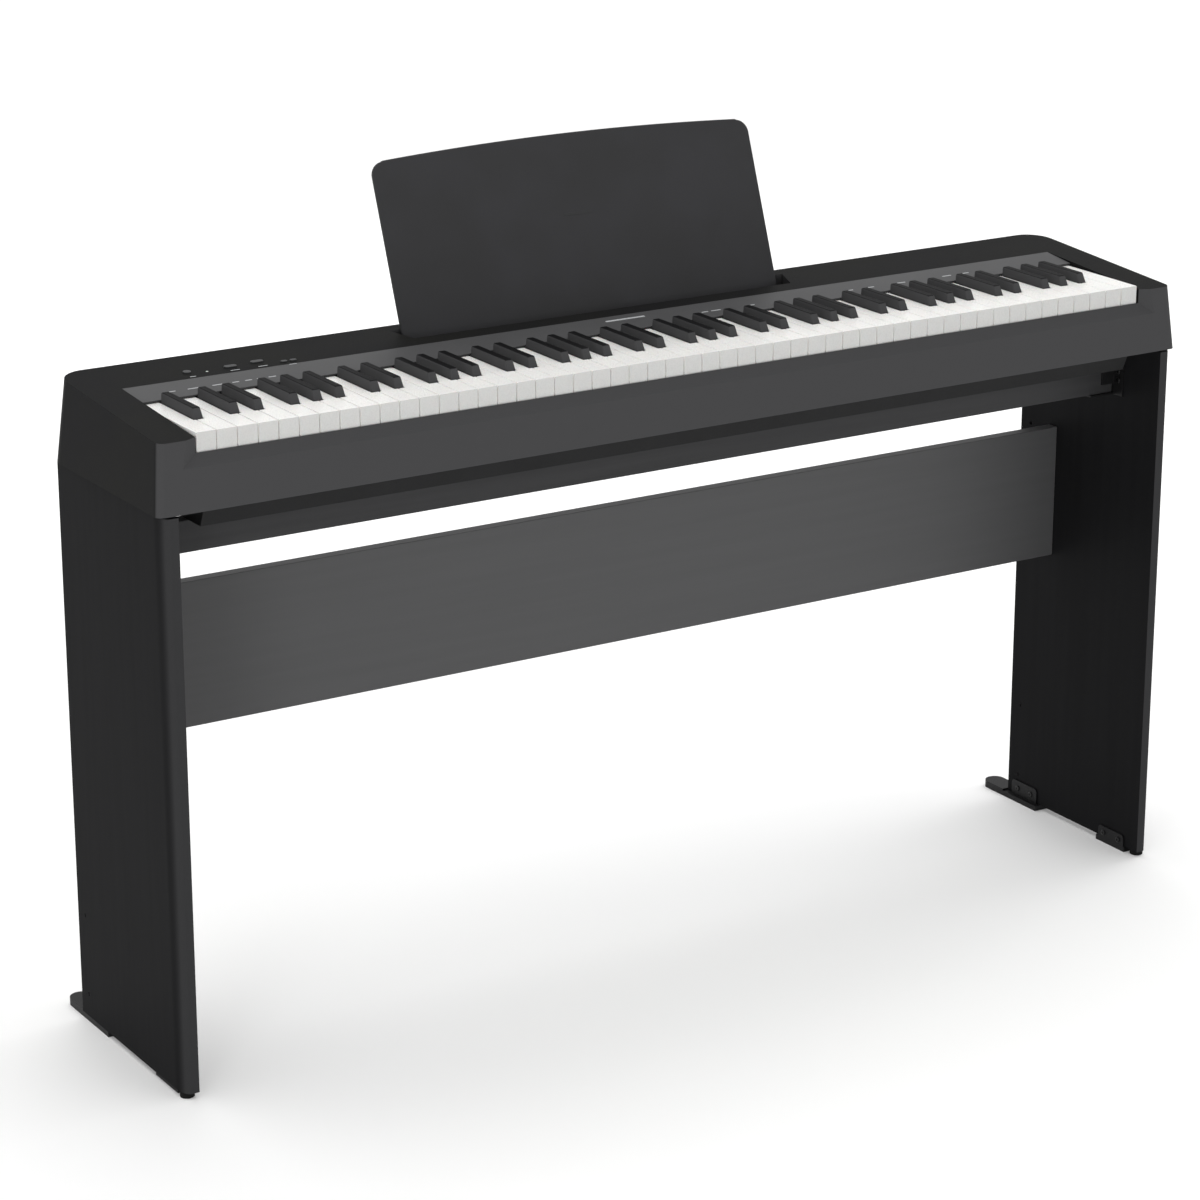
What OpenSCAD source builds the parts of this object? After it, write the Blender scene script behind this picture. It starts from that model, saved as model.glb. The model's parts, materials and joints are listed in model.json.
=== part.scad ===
// Digital piano with 88 keys on a knock-down panel stand.
// Row frame: X along the keyboard, Y from the player to the wall, Z up from the floor.
// The origin is on the floor, in the middle of the outline. Millimetres.
// Inside the modules a depth d is counted from the stand's front face towards the wall.

/* [Stand] */
// Depth of the rear feet's ends, from the panels' front
foot_end_d = 302; // [298:1:308]
// Distance from the middle of the piano to a side panel's inner face
panel_in_x = 639.8; // [639:0.2:641]
// Thickness of a side panel
panel_t = 18; // [16:1:19]
// Depth of a side panel, front to back
panel_d = 256.4; // [254:0.4:260]
// Height of a side panel's top edge above the floor
panel_top_z = 641; // [640:0.5:641.5]
// Height of a side panel's bottom edge above the floor
panel_bottom_z = 6.5; // [6:0.5:8]
// Depth of the back board's front face
board_front_d = 186; // [180:1:190]
// Thickness of the back board
board_t = 15; // [12:1:18]
// Lower edge of the back board
board_low_z = 342.4; // [320:0.4:360]
// Upper edge of the back board
board_high_z = 507.2; // [495:0.4:508]
// Depth of the support rail's front face
rail_front_d = 83; // [81:1:85]

/* [Case] */
// Width of the piano case at its lower edge
case_w = 1326; // [1324:1:1330]
// Depth of the piano case at its lower edge
case_d = 268; // [267:1:270]
// Height of the case's lower edge
case_low_z = 643.2; // [643:0.2:644]
// Height of the top surface at its front edge
front_top_z = 718; // [717:0.5:719]
// Height of the top surface at its rear edge
rear_top_z = 735.8; // [735:0.4:737]
// Wall thickness of the mouldings
wall = 3; // [2.5:0.1:3.2]
// Lean of the case's four sides
case_draft = 5.3; // [4.8:0.1:5.6]
// Corner radius at the front of the case
case_front_r = 9; // [7:1:11]
// Corner radius at the back of the case
case_rear_r = 30; // [24:2:34]

/* [Keyboard] */
// Width of one white key with its gap
key_pitch = 23.5; // [23.4:0.05:23.5]
// Gap between neighbouring white keys
key_gap = 0.9; // [0.8:0.1:1.2]
// Height of the white keys' tops
white_top_z = 722.4; // [722:0.2:722.6]
// Depth of the white keys' front faces
white_front_d = 13.8; // [13.6:0.1:14.2]
// Width of a black key at its foot
black_w = 10.6; // [10:0.1:11]
// Height of the black keys' tops
black_top_z = 733.2; // [732:0.2:734]
// Depth of the black keys' front feet
black_front_d = 61.2; // [61:0.1:62]
// Radius of the keys' pivot rod
pivot_r = 2; // [1.8:0.1:2.2]

/* [Music rest] */
// Width of the music rest
rest_w = 500; // [490:2:506]
// Thickness of the music rest
rest_t = 5; // [4:0.5:5]
// Lean of the music rest
rest_tilt = 20.2; // [19.8:0.2:20.6]
// Length from the case's top to the middle of the upper edge
rest_h = 197.5; // [180:0.5:210]
// Rise of the arched upper edge
rest_arch = 8; // [4:1:12]

/* [Hidden] */

// Colours
satin_black = "#2f3031";
strip_grey = "#4b4c4d";
board_grey = "#3b3c3d";
rest_black = "#38393a";
metal_black = "#121213";
ivory_white = "#f3f2ee";
ebony_black = "#202022";

// How finely arcs are stepped where a smooth shell is blended
smooth_steps = 8;
// Reach of a cut past the surface it goes through
over = 1;
panel_out_x = panel_in_x + panel_t;
panel_mid_x = panel_in_x + panel_t / 2;
draft_slope = tan(case_draft);

// Top surface of the case
top_front_d = (front_top_z - case_low_z) * draft_slope;
top_rear_d = case_d - (rear_top_z - case_low_z) * draft_slope;
top_slope = (rear_top_z - front_top_z) / (top_rear_d - top_front_d);
top_tilt = atan(top_slope);
function top_z(d) = front_top_z + (d - top_front_d) * top_slope;

// Key opening, its bevelled front edge and the flared inner corners of the arms
opening_half = 612.5;
flare_half = 625;
bevel_low_z = 689;
bevel_low_d = (bevel_low_z - case_low_z) * draft_slope;
lip_z = 702;
lip_d = 12.6;
bevel_slope = (lip_d - bevel_low_d) / (lip_z - bevel_low_z);
arm_wall_rear_d = 190;

// Control strip behind the keys
strip_front_d = 139.7;
strip_rear_d = 184.4;
strip_front_z = 725.2;
strip_rear_z = top_z(strip_rear_d);
strip_front_low_z = 723.3;
strip_t = 2.9;
strip_low_slope = (strip_rear_z - strip_t - strip_front_low_z) / (strip_rear_d - strip_front_d);

// Trough that the music rest stands in
trough_front_d = 207;
trough_rear_d = 242.6;
trough_front_half = 251;
trough_rear_half = 263;
trough_floor_z = 719;
rest_ref_z = 733;
rest_ref_d = 236;
rest_foot = 12.75;
rest_corner_r = 16;
rest_back_d = rest_ref_d + rest_h * sin(rest_tilt) + rest_t * cos(rest_tilt);
// The outline ends at the feet or at the top of the leaning rest, and is centred on y = 0
front_y = -max(foot_end_d, rest_back_d) / 2;

// Tray under the case
tray_half = 604;
tray_low_z = 620;
tray_front_d = 14;
tray_rear_d = 250;
tray_front_slope_d = 11;
tray_rear_slope_d = 14;
plate_high_z = case_low_z + wall;

// Keys
white_count = 52;
middle_c = 23;
octave = 7;
pivot_d = 236;
pivot_z = 704;
pivot_clearance = 0.05;
white_low_z = 710;
skirt_low_z = 700;
skirt_t = 3.2;
hidden_top_z = 718;
tail_top_z = 709.5;
tail_low_z = 698;
tail_end_d = 252;
step_d = 143;
notch_front_d = 59.6;
black_rear_d = 138.9;
black_top_w = 9.2;
black_gap = 1;
slot_w = black_w + 2 * black_gap;
// Tails between the blacks are equally wide within C to E and within F to B
tail_ce = (3 * key_pitch - 2 * slot_w) / 3;
tail_fb = (4 * key_pitch - 3 * slot_w) / 4;
// Letter of white key i, with C as 0
function letter(i) = (i + 5) % octave;
function white_x(i) = (i - (white_count - 1) / 2) * key_pitch;
function has_sharp(i) = i >= 0 && i < white_count - 1 && letter(i) != 2 && letter(i) != 6;
// Shift of the black key after white key i from the joint between the whites
function sharp_shift(i) =
    letter(i) == 0 ? tail_ce + slot_w / 2 - key_pitch :
    letter(i) == 1 ? key_pitch - tail_ce - slot_w / 2 :
    letter(i) == 3 ? tail_fb + slot_w / 2 - key_pitch :
    letter(i) == 5 ? key_pitch - tail_fb - slot_w / 2 : 0;
function black_x(i) = white_x(i) + key_pitch / 2 + sharp_shift(i);

// Panel buttons: place along the piano, depth, length and width of each cap
power_at = [-528, 204, 9, 9];
function_at = [-478, 202, 15, 7];
voice_at = [-445, 205, 15, 7];
minus_at = [-418.5, 193, 8, 5];
plus_at = [-407.5, 193, 8, 5];
lamp_at = [-507, 198.5, 3, 3];
button_gap = 0.3;
cap_rise = 1.4;
flange_t = 1.2;
flange_drop = 0.2;
stem_r = 1.5;
stem_len = 2;
board_drop = 10;
pcb_t = 1.6;

// Sockets in the rear wall: place along the piano and height
dc_at = [-545, 665];
usb_at = [-518, 665];
pedal_at = [-460, 666];
phones_at = [-415, 666];
plug_r = 3.2;
bush_r = 5.5;
socket_front_d = 250;
socket_rear_d = 267.6;
socket_hole_gap = 0.3;

// Small holes along the rear edge of each side panel
spare_hole_r = 2.5;
spare_hole_d = 238;
spare_hole_z = [34, 128];
blind_hole_z = 500;

// Brackets, screws and feet
sheet = 2.2;
foot_half_w = 13;
foot_tail_t = 9;
rear_foot_d = 190;
screw_head_r = 3.6;
screw_head_t = 1.6;
screw_r = 1.9;
pilot_r = 2;
screw_len = 12;
foot_screw_at = [[208, 16], [234, 16], [34, 13], [62, 13]];
rail_low_z = 575;
rail_high_z = 610;
rail_t = 18;
rail_bracket_d = [64, 106];
rail_bracket_z = [586, 610];
rail_visible_half = 620;
shelf_in_x = 603;
rail_screw_at = [[72, 603], [72, 592]];
shelf_screw_x = 612;
board_bracket_z = [372, 452];
board_bracket_h = 26;
board_bracket_leg = 26;
top_bracket_d = [120, 205];
top_bracket_w = 30;
top_bracket_in_x = 608;
keyboard_screw_x = 622;
keyboard_screw_r = 3;
case_screw_r = 1.5;
case_screw_at = concat([for (x = [-500:250:500]) [x, 256]],
    [for (x = [-629, 629]) for (d = [34, 160]) [x, d]]);
boss_r = 4;

// Points on a circle's arc
function arc(cx, cy, r, a0, a1, n) =
    [for (i = [0:n]) [cx + r * cos(a0 + (a1 - a0) * i / n), cy + r * sin(a0 + (a1 - a0) * i / n)]];

// Places children so that their y is the depth d behind the stand's front
module from_front() translate([0, front_y, 0]) children();

// Outline given in depth and height, extruded along X
module along_x(points, x0, x1) {
    translate([x0, 0, 0]) rotate([90, 0, 90]) linear_extrude(x1 - x0) polygon(points);
}

// Outline given in X and height, extruded along the depth
module along_d(points, d0, d1) {
    translate([0, d1, 0]) rotate([90, 0, 0]) linear_extrude(d1 - d0) polygon(points);
}

module block(x, d, z) translate([x[0], d[0], z[0]]) cube([x[1] - x[0], d[1] - d[0], z[1] - z[0]]);

// Rod along X from x0 to x1 at depth d and height z
module rod_x(x0, x1, d, z, r) {
    translate([x0, d, z]) rotate([0, 90, 0]) cylinder(h = x1 - x0, r = r, $fn = 32);
}

// Rod along the depth from d0 to d1
module rod_d(x, d0, d1, z, r) {
    translate([x, d0, z]) rotate([-90, 0, 0]) cylinder(h = d1 - d0, r = r, $fn = 32);
}

module rod_z(x, d, z0, z1, r) translate([x, d, z0]) cylinder(h = z1 - z0, r = r, $fn = 32);

// Draws its children on the right, or mirrored on the left
module on_side(side) mirror([side == "left" ? 1 : 0, 0, 0]) from_front() children();

module both_sides() {
    on_side("left") children();
    on_side("right") children();
}

// ---- Stand ----

// Plan of a side panel; the outer front edge is rounded off as a quarter ellipse
module panel_plan() {
    round_x = panel_t / 2;
    round_d = 22;
    edge = [for (i = [0:smooth_steps]) let (a = -90 + 90 * i / smooth_steps)
        [panel_out_x - round_x + round_x * cos(a), round_d + round_d * sin(a)]];
    polygon(concat([[panel_in_x, panel_d], [panel_in_x, 0]], edge, [[panel_out_x, panel_d]]));
}

module side_panel(side) {
    color(satin_black) on_side(side) difference() {
        translate([0, 0, panel_bottom_z]) linear_extrude(panel_top_z - panel_bottom_z) panel_plan();
        for (z = spare_hole_z)
            rod_x(panel_in_x - over, panel_out_x + over, spare_hole_d, z, spare_hole_r);
        rod_x(panel_in_x - over, panel_mid_x, spare_hole_d, blind_hole_z, spare_hole_r);
        for (p = concat(foot_screw_at, rail_screw_at, board_side_screws(), top_side_screws()))
            rod_x(panel_in_x - over, panel_in_x + screw_len + 0.5, p[0], p[1], pilot_r);
    }
}

module back_board() {
    color(board_grey) from_front() difference() {
        block([-panel_in_x, panel_in_x], [board_front_d, board_front_d + board_t],
            [board_low_z, board_high_z]);
        for (x = [-board_screw_x(), board_screw_x()]) for (z = board_screw_z())
            rod_d(x, board_front_d + board_t - screw_len + 2, board_front_d + board_t + over, z, pilot_r);
    }
}

module support_rail() {
    end_x = panel_in_x - sheet - 0.2;
    color(satin_black) from_front() difference() {
        block([-end_x, end_x], [rail_front_d, rail_front_d + rail_t], [rail_low_z, rail_high_z]);
        for (x = [-shelf_screw_x, shelf_screw_x])
            rod_z(x, rail_front_d + rail_t / 2, rail_low_z - over, rail_low_z + screw_len, pilot_r);
    }
}

// Socket for one end of the rail: a flange on the panel, a front cheek and a shelf
module rail_bracket(side) {
    in_x = panel_in_x - sheet;
    cheek_d = rail_front_d - 0.3;
    color(metal_black) on_side(side) difference() {
        union() {
            block([in_x, panel_in_x], rail_bracket_d, [rail_low_z - sheet, rail_bracket_z[1]]);
            block([rail_visible_half, in_x], [cheek_d - sheet, cheek_d], rail_bracket_z);
            block([shelf_in_x, in_x], [cheek_d - sheet, rail_front_d + rail_t],
                [rail_low_z - sheet, rail_low_z]);
        }
        for (p = rail_screw_at) rod_x(in_x - over, panel_in_x + over, p[0], p[1], pilot_r);
        rod_z(shelf_screw_x, rail_front_d + rail_t / 2, rail_low_z - sheet - over, rail_low_z + over, pilot_r);
    }
}

// Upright flange with rounded upper corners, on a panel's inner face
module foot_flange(d0, d1, high_z) {
    r = 5;
    outline = concat([[d0, 0]], arc(d0 + r, high_z - r, r, 180, 90, smooth_steps),
        arc(d1 - r, high_z - r, r, 90, 0, smooth_steps), [[d1, 0]]);
    along_x(outline, panel_in_x - sheet, panel_in_x);
}

module rear_foot(side) {
    end_d = foot_end_d - foot_half_w;
    x0 = panel_mid_x - foot_half_w - 4;
    x1 = x0 + 2 * foot_half_w;
    color(metal_black) on_side(side) difference() {
        union() {
            block([x0, x1], [rear_foot_d, end_d], [0, panel_bottom_z]);
            block([x0, x1], [panel_d + 0.6, end_d], [0, foot_tail_t]);
            rod_z((x0 + x1) / 2, end_d, 0, foot_tail_t, foot_half_w);
            foot_flange(196, 246, 26);
        }
        for (i = [0:1])
            rod_x(panel_in_x - sheet - over, panel_in_x + over, foot_screw_at[i][0], foot_screw_at[i][1], pilot_r);
    }
}

module front_foot(side) {
    color(metal_black) on_side(side) difference() {
        union() {
            block([panel_in_x - sheet, panel_out_x - 3], [22, 76], [0, panel_bottom_z]);
            foot_flange(24, 72, 21);
        }
        for (i = [2:3])
            rod_x(panel_in_x - sheet - over, panel_in_x + over, foot_screw_at[i][0], foot_screw_at[i][1], pilot_r);
    }
}

module foot_glides() {
    color(metal_black) both_sides() {
        rod_z(panel_mid_x, 11.5, 0, panel_bottom_z, 8);
    }
}

// Screw along X with its head on the inner side of a flange
module side_screw(d, z) {
    head_x = panel_in_x - sheet;
    rod_x(head_x - screw_head_t, head_x, d, z, screw_head_r);
    rod_x(head_x - 0.1, panel_in_x + screw_len, d, z, screw_r);
}

module foot_screws() {
    color("dimgray") both_sides() {
        for (p = foot_screw_at) side_screw(p[0], p[1]);
    }
}

// Screw places of the board's angle brackets
function board_screw_x() = panel_in_x - board_bracket_leg / 2;
function board_screw_z() = [for (z = board_bracket_z) z + board_bracket_h / 2];
function board_side_screws() = [for (z = board_screw_z()) [board_front_d + board_t + board_bracket_leg / 2, z]];
function top_side_screws() = [for (d = top_bracket_d) for (s = [-8, 8]) [d + s, 628]];

module board_brackets() {
    d0 = board_front_d + board_t;
    color(metal_black) both_sides() for (z = board_bracket_z) difference() {
        union() {
            block([panel_in_x - sheet, panel_in_x], [d0, d0 + board_bracket_leg], [z, z + board_bracket_h]);
            block([panel_in_x - board_bracket_leg, panel_in_x], [d0, d0 + sheet], [z, z + board_bracket_h]);
        }
        rod_x(panel_in_x - sheet - over, panel_in_x + over, d0 + board_bracket_leg / 2,
            z + board_bracket_h / 2, pilot_r);
        rod_d(board_screw_x(), d0 - over, d0 + sheet + over, z + board_bracket_h / 2, pilot_r);
    }
}

// Angles at the panels' tops that the keyboard is bolted to
module top_brackets() {
    flat_z = case_low_z - sheet;
    color(metal_black) both_sides() for (d = top_bracket_d) difference() {
        union() {
            block([panel_in_x - sheet, panel_in_x], [d - top_bracket_w / 2, d + top_bracket_w / 2],
                [615, panel_top_z]);
            block([top_bracket_in_x, panel_in_x - 0.2], [d - top_bracket_w / 2, d + top_bracket_w / 2],
                [flat_z, case_low_z]);
        }
        rod_z(keyboard_screw_x, d, flat_z - over, case_low_z + over, keyboard_screw_r + 0.1);
        for (s = [-8, 8])
            rod_x(panel_in_x - sheet - over, panel_in_x + over, d + s, 628, pilot_r);
    }
}

module bracket_screws() {
    d1 = board_front_d + board_t;
    shelf_z = rail_low_z - sheet;
    color("dimgray") both_sides() {
        for (p = concat(rail_screw_at, board_side_screws(), top_side_screws())) side_screw(p[0], p[1]);
        for (z = board_screw_z()) {
            rod_d(board_screw_x(), d1 + sheet, d1 + sheet + screw_head_t, z, screw_head_r);
            rod_d(board_screw_x(), d1 - screw_len + 3, d1 + sheet + 0.1, z, screw_r);
        }
        rod_z(shelf_screw_x, rail_front_d + rail_t / 2, shelf_z - screw_head_t, shelf_z, screw_head_r);
        rod_z(shelf_screw_x, rail_front_d + rail_t / 2, shelf_z - 0.1, rail_low_z + screw_len - 1, screw_r);
    }
}

module case_pads() {
    color("#1a1a1a") both_sides() for (d = [34, 225])
        block([panel_mid_x - 7, panel_mid_x + 7], [d - 12, d + 12], [panel_top_z, case_low_z]);
}

module keyboard_screws() {
    head_z = case_low_z - sheet;
    color("dimgray") both_sides() for (d = top_bracket_d) {
        rod_z(keyboard_screw_x, d, head_z - 4, head_z, 6);
        rod_z(keyboard_screw_x, d, head_z - 0.1, case_low_z + 14, keyboard_screw_r);
    }
}

// ---- Case ----

// Plan of the case with its corners rounded; inset and shell move it inwards, shell thins the radii
module case_plan(inset, shell) {
    w = case_w / 2 - inset - shell;
    d0 = inset + shell;
    d1 = case_d - inset - shell;
    rf = case_front_r - shell;
    rr = case_rear_r - shell;
    polygon(concat(
        arc(-w + rf, d0 + rf, rf, 180, 270, smooth_steps), arc(w - rf, d0 + rf, rf, 270, 360, smooth_steps),
        arc(w - rr, d1 - rr, rr, 0, 90, 2 * smooth_steps), arc(-w + rr, d1 - rr, rr, 90, 180, 2 * smooth_steps)));
}

// The case's outer form, or the hollow inside its walls when shell is the wall thickness
module case_form(shell, low_z) {
    high_z = rear_top_z + 4;
    thin = 0.01;
    intersection() {
        hull() {
            translate([0, 0, low_z]) linear_extrude(thin) case_plan((low_z - case_low_z) * draft_slope, shell);
            translate([0, 0, high_z]) linear_extrude(thin) case_plan((high_z - case_low_z) * draft_slope, shell);
        }
        along_x([[-over, low_z], [case_d + over, low_z], [case_d + over, top_z(case_d + over) - shell],
            [-over, top_z(-over) - shell]], -case_w, case_w);
    }
}

// Space for the keys: open above, bevelled in front, flared at the arms
module key_opening() {
    flare_slope = (lip_d - top_front_d) / (flare_half - opening_half);
    far_x = flare_half + 25;
    far_d = top_front_d - (far_x - flare_half) * flare_slope;
    low_d = -over;
    intersection() {
        along_x([[low_d, lip_z - (lip_d - low_d) / bevel_slope], [lip_d, lip_z], [strip_rear_d, lip_z],
            [strip_rear_d, rear_top_z + 9], [low_d, rear_top_z + 9]], -far_x, far_x);
        translate([0, 0, bevel_low_z - 20]) linear_extrude(90) polygon([
            [-far_x, far_d - 9], [far_x, far_d - 9], [far_x, far_d], [opening_half, lip_d],
            [opening_half, strip_rear_d], [-opening_half, strip_rear_d], [-opening_half, lip_d], [-far_x, far_d]]);
    }
}

// Plan of the music rest's trough, grown by a margin
module trough_plan(grow) {
    polygon([[-trough_front_half - grow, trough_front_d - grow], [trough_front_half + grow, trough_front_d - grow],
        [trough_rear_half + grow, trough_rear_d + grow], [-trough_rear_half - grow, trough_rear_d + grow]]);
}

// Places children on the top surface, with z as its normal
module on_top(at) translate([at[0], at[1], top_z(at[1])]) rotate([top_tilt, 0, 0]) children();

// Round-ended bar lying along X
module stadium(length, width, h) {
    r = width / 2;
    for (s = [-1, 1]) translate([s * (length / 2 - r), 0, 0]) cylinder(h = h, r = r, $fn = 32);
    if (length > width) translate([-length / 2 + r, -r, 0]) cube([length - width, width, h]);
}

module button_hole(at) {
    on_top(at) translate([0, 0, -8]) stadium(at[2] + 2 * button_gap, at[3] + 2 * button_gap, 12);
}

module top_case() {
    color(satin_black) from_front() {
        difference() {
            union() {
                difference() {
                    case_form(0, case_low_z);
                    case_form(wall, case_low_z - over);
                }
                intersection() {
                    case_form(0, case_low_z);
                    union() {
                        for (x = [-opening_half - wall, opening_half])
                            block([x, x + wall], [1, arm_wall_rear_d], [650, 745]);
                        for (x = [-flare_half - 3, opening_half - 1])
                            block([x, x + flare_half - opening_half + 4], [1, lip_d + wall], [683, 745]);
                        along_x([[1, 683], [1, lip_z], [lip_d, lip_z], [lip_d, lip_z - 3],
                            [7.4, bevel_low_z - 1], [5.5, 683]], -flare_half - 5, flare_half + 5);
                        translate([0, 0, trough_floor_z - wall]) linear_extrude(30) trough_plan(wall);
                        for (p = case_screw_at) if (abs(p[0]) < opening_half)
                            block([p[0] - 3.5, p[0] + 3.5], [p[1] - 3.5, case_d], [plate_high_z, plate_high_z + 16]);
                        for (p = case_screw_at) if (abs(p[0]) > opening_half)
                            rod_z(p[0], p[1], plate_high_z, 745, boss_r);
                    }
                }
            }
            key_opening();
            translate([0, 0, trough_floor_z]) linear_extrude(30) trough_plan(0);
            for (at = [power_at, function_at, voice_at, minus_at, plus_at]) button_hole(at);
            on_top(lamp_at) translate([0, 0, -8]) cylinder(h = 12, r = 1.5, $fn = 32);
            for (p = case_screw_at) rod_z(p[0], p[1], case_low_z, case_low_z + 13, case_screw_r + 0.1);
            for (p = [dc_at, pedal_at, phones_at])
                rod_d(p[0], socket_front_d + 9, case_d + over, p[1], bush_r + socket_hole_gap);
            block([usb_at[0] - 6.3, usb_at[0] + 6.3], [socket_front_d + 9, case_d + over],
                [usb_at[1] - 5.8, usb_at[1] + 5.8]);
        }
        strip_ledge();
    }
}

// Ledge of the case under the rear edge of the control strip
module strip_ledge() {
    ledge_d = strip_rear_d - 8;
    join_d = strip_rear_d + 0.5;
    ledge_z = strip_front_low_z + (ledge_d - strip_front_d) * strip_low_slope;
    join_z = strip_front_low_z + (strip_rear_d - strip_front_d) * strip_low_slope;
    along_x([[ledge_d, ledge_z - 2], [join_d, join_z - 2], [join_d, join_z + 0.1], [strip_rear_d, join_z],
        [ledge_d, ledge_z]], -opening_half - 0.5, opening_half + 0.5);
}

module control_strip() {
    end_x = opening_half - 0.2;
    color(strip_grey) from_front() along_x([[strip_front_d, strip_front_low_z], [strip_front_d, strip_front_z],
        [strip_rear_d, strip_rear_z], [strip_rear_d, strip_rear_z - strip_t]], -end_x, end_x);
}

module bottom_case() {
    slot_n = 11;
    color(satin_black) from_front() difference() {
        union() {
            translate([0, 0, case_low_z]) linear_extrude(wall) case_plan(0.6, wall);
            along_x([[tray_front_d, plate_high_z], [tray_front_d + tray_front_slope_d, tray_low_z],
                [tray_rear_d - tray_rear_slope_d, tray_low_z], [tray_rear_d, plate_high_z]], -tray_half, tray_half);
            for (s = [-1, 1]) for (d = top_bracket_d)
                rod_z(s * keyboard_screw_x, d, plate_high_z - 0.1, plate_high_z + 13, 6);
        }
        along_x([[tray_front_d + wall, plate_high_z + over],
            [tray_front_d + tray_front_slope_d + wall, tray_low_z + wall],
            [tray_rear_d - tray_rear_slope_d - wall, tray_low_z + wall],
            [tray_rear_d - wall, plate_high_z + over]], -tray_half + wall, tray_half - wall);
        for (s = [-1, 1]) for (d = top_bracket_d)
            rod_z(s * keyboard_screw_x, d, case_low_z - over, plate_high_z + 14, keyboard_screw_r + 0.1);
        for (p = case_screw_at) rod_z(p[0], p[1], case_low_z - over, plate_high_z + over, case_screw_r + 0.2);
        for (s = [-1, 1]) for (i = [0:slot_n - 1])
            translate([s * speaker_x + (i - (slot_n - 1) / 2) * 9 - 2, speaker_d - 38, tray_low_z - over])
                cube([4, 76, wall + 2 * over]);
    }
}

module case_screws() {
    color("dimgray") from_front() for (p = case_screw_at) {
        rod_z(p[0], p[1], case_low_z - 1.8, case_low_z, 3.2);
        rod_z(p[0], p[1], case_low_z - 0.1, case_low_z + 12, case_screw_r);
    }
}

// ---- Works inside the case ----

speaker_x = 440;
speaker_d = 128;
frame_low_z = 650;
felt_top_z = 700.3;
felt_t = 3;
rod_end_x = 615.8;

// Bent sheet under the keys, with a raised front ledge and two cheeks for the pivot rod
module key_frame() {
    ledge_z = felt_top_z - felt_t;
    color("#8a8d90") from_front() difference() {
        union() {
            block([-608, 608], [20, 252], [frame_low_z, frame_low_z + 2]);
            block([-608, 608], [24, 26.5], [frame_low_z, ledge_z]);
            block([-608, 608], [22, 46], [ledge_z - 2.5, ledge_z]);
            block([-rod_end_x, rod_end_x], [212, 252], [frame_low_z, frame_low_z + 2]);
            for (x = [-rod_end_x, rod_end_x - 3])
                block([x, x + 3], [222, 250], [frame_low_z, pivot_z + 8]);
        }
        rod_x(-case_w / 2, case_w / 2, pivot_d, pivot_z, pivot_r + pivot_clearance);
    }
}

module pivot_rod() {
    color("silver") from_front() rod_x(-rod_end_x, rod_end_x, pivot_d, pivot_z, pivot_r);
}

module key_felt() {
    color("firebrick") from_front() block([-608, 608], [24, 44], [felt_top_z - felt_t, felt_top_z]);
}

// Loudspeaker that fires down through the tray
module speaker(side) {
    seat_z = tray_low_z + wall;
    color("#26272a") on_side(side) translate([speaker_x, speaker_d, seat_z]) {
        cylinder(h = 3, r = 55, $fn = 64);
        translate([0, 0, 3]) cylinder(h = 12, r1 = 50, r2 = 26, $fn = 64);
        translate([0, 0, 15]) cylinder(h = 9, r = 27, $fn = 64);
    }
}

module main_board() {
    board_z = 656;
    face_z = board_z + pcb_t;
    color("darkgreen") from_front() {
        block([-575, -375], [204, 251.5], [board_z, face_z]);
        block([-566, -540], [210, 226], [face_z, face_z + 12]);
        block([-480, -456], [208, 232], [face_z, face_z + 2]);
        for (x = [-528, -512]) rod_z(x, 220, face_z, face_z + 14, 5);
        for (x = [-570, -380]) rod_z(x, 209, frame_low_z + 2, board_z, 3);
    }
}

// Narrow board under the buttons, one switch below each
module panel_board() {
    ref = [-467, 202];
    color("darkgreen") from_front() {
        on_top(ref) translate([-75, -13, -board_drop - pcb_t]) cube([150, 26, pcb_t]);
        for (at = [power_at, function_at, voice_at, minus_at, plus_at])
            on_top(at) translate([-2.5, -2.5, -board_drop - 0.1]) cube([5, 5, 2]);
    }
}

// Barrel socket with its centre pin
module dc_jack() {
    color(metal_black) from_front() {
        difference() {
            union() {
                block([dc_at[0] - 5.5, dc_at[0] + 5.5], [socket_front_d, socket_front_d + 8.5],
                    [dc_at[1] - 7, dc_at[1] + 6]);
                rod_d(dc_at[0], socket_front_d + 8.4, socket_rear_d, dc_at[1], bush_r);
            }
            rod_d(dc_at[0], socket_front_d + 5, socket_rear_d + over, dc_at[1], 2.8);
        }
        rod_d(dc_at[0], socket_front_d + 4.9, socket_rear_d - 1.5, dc_at[1], 1);
    }
}

module usb_port() {
    x = usb_at[0];
    z = usb_at[1];
    color("silver") from_front() difference() {
        block([x - 6, x + 6], [socket_front_d, socket_rear_d - 0.6], [z - 5.5, z + 5.5]);
        block([x - 4.3, x + 4.3], [socket_front_d + 5, socket_rear_d + over], [z - 3.9, z + 3.9]);
    }
}

// Socket for a quarter-inch plug
module plug_socket(at) {
    difference() {
        union() {
            block([at[0] - 8, at[0] + 8], [socket_front_d - 14, socket_front_d + 8.5], [at[1] - 8, at[1] + 7]);
            rod_d(at[0], socket_front_d + 8.4, socket_rear_d, at[1], bush_r);
        }
        rod_d(at[0], socket_front_d - 12, socket_rear_d + over, at[1], plug_r);
    }
}

module pedal_jack() { color(metal_black) from_front() plug_socket(pedal_at); }
module phones_jack() { color(metal_black) from_front() plug_socket(phones_at); }

module power_lamp() {
    color("#d8d8d0") from_front() on_top(lamp_at) {
        translate([0, 0, -4]) cylinder(h = 4.2, r = 1.4, $fn = 32);
        translate([0, 0, -5.2]) cylinder(h = 1.3, r = 2.4, $fn = 32);
    }
}

// ---- Moving pieces ----

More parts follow.
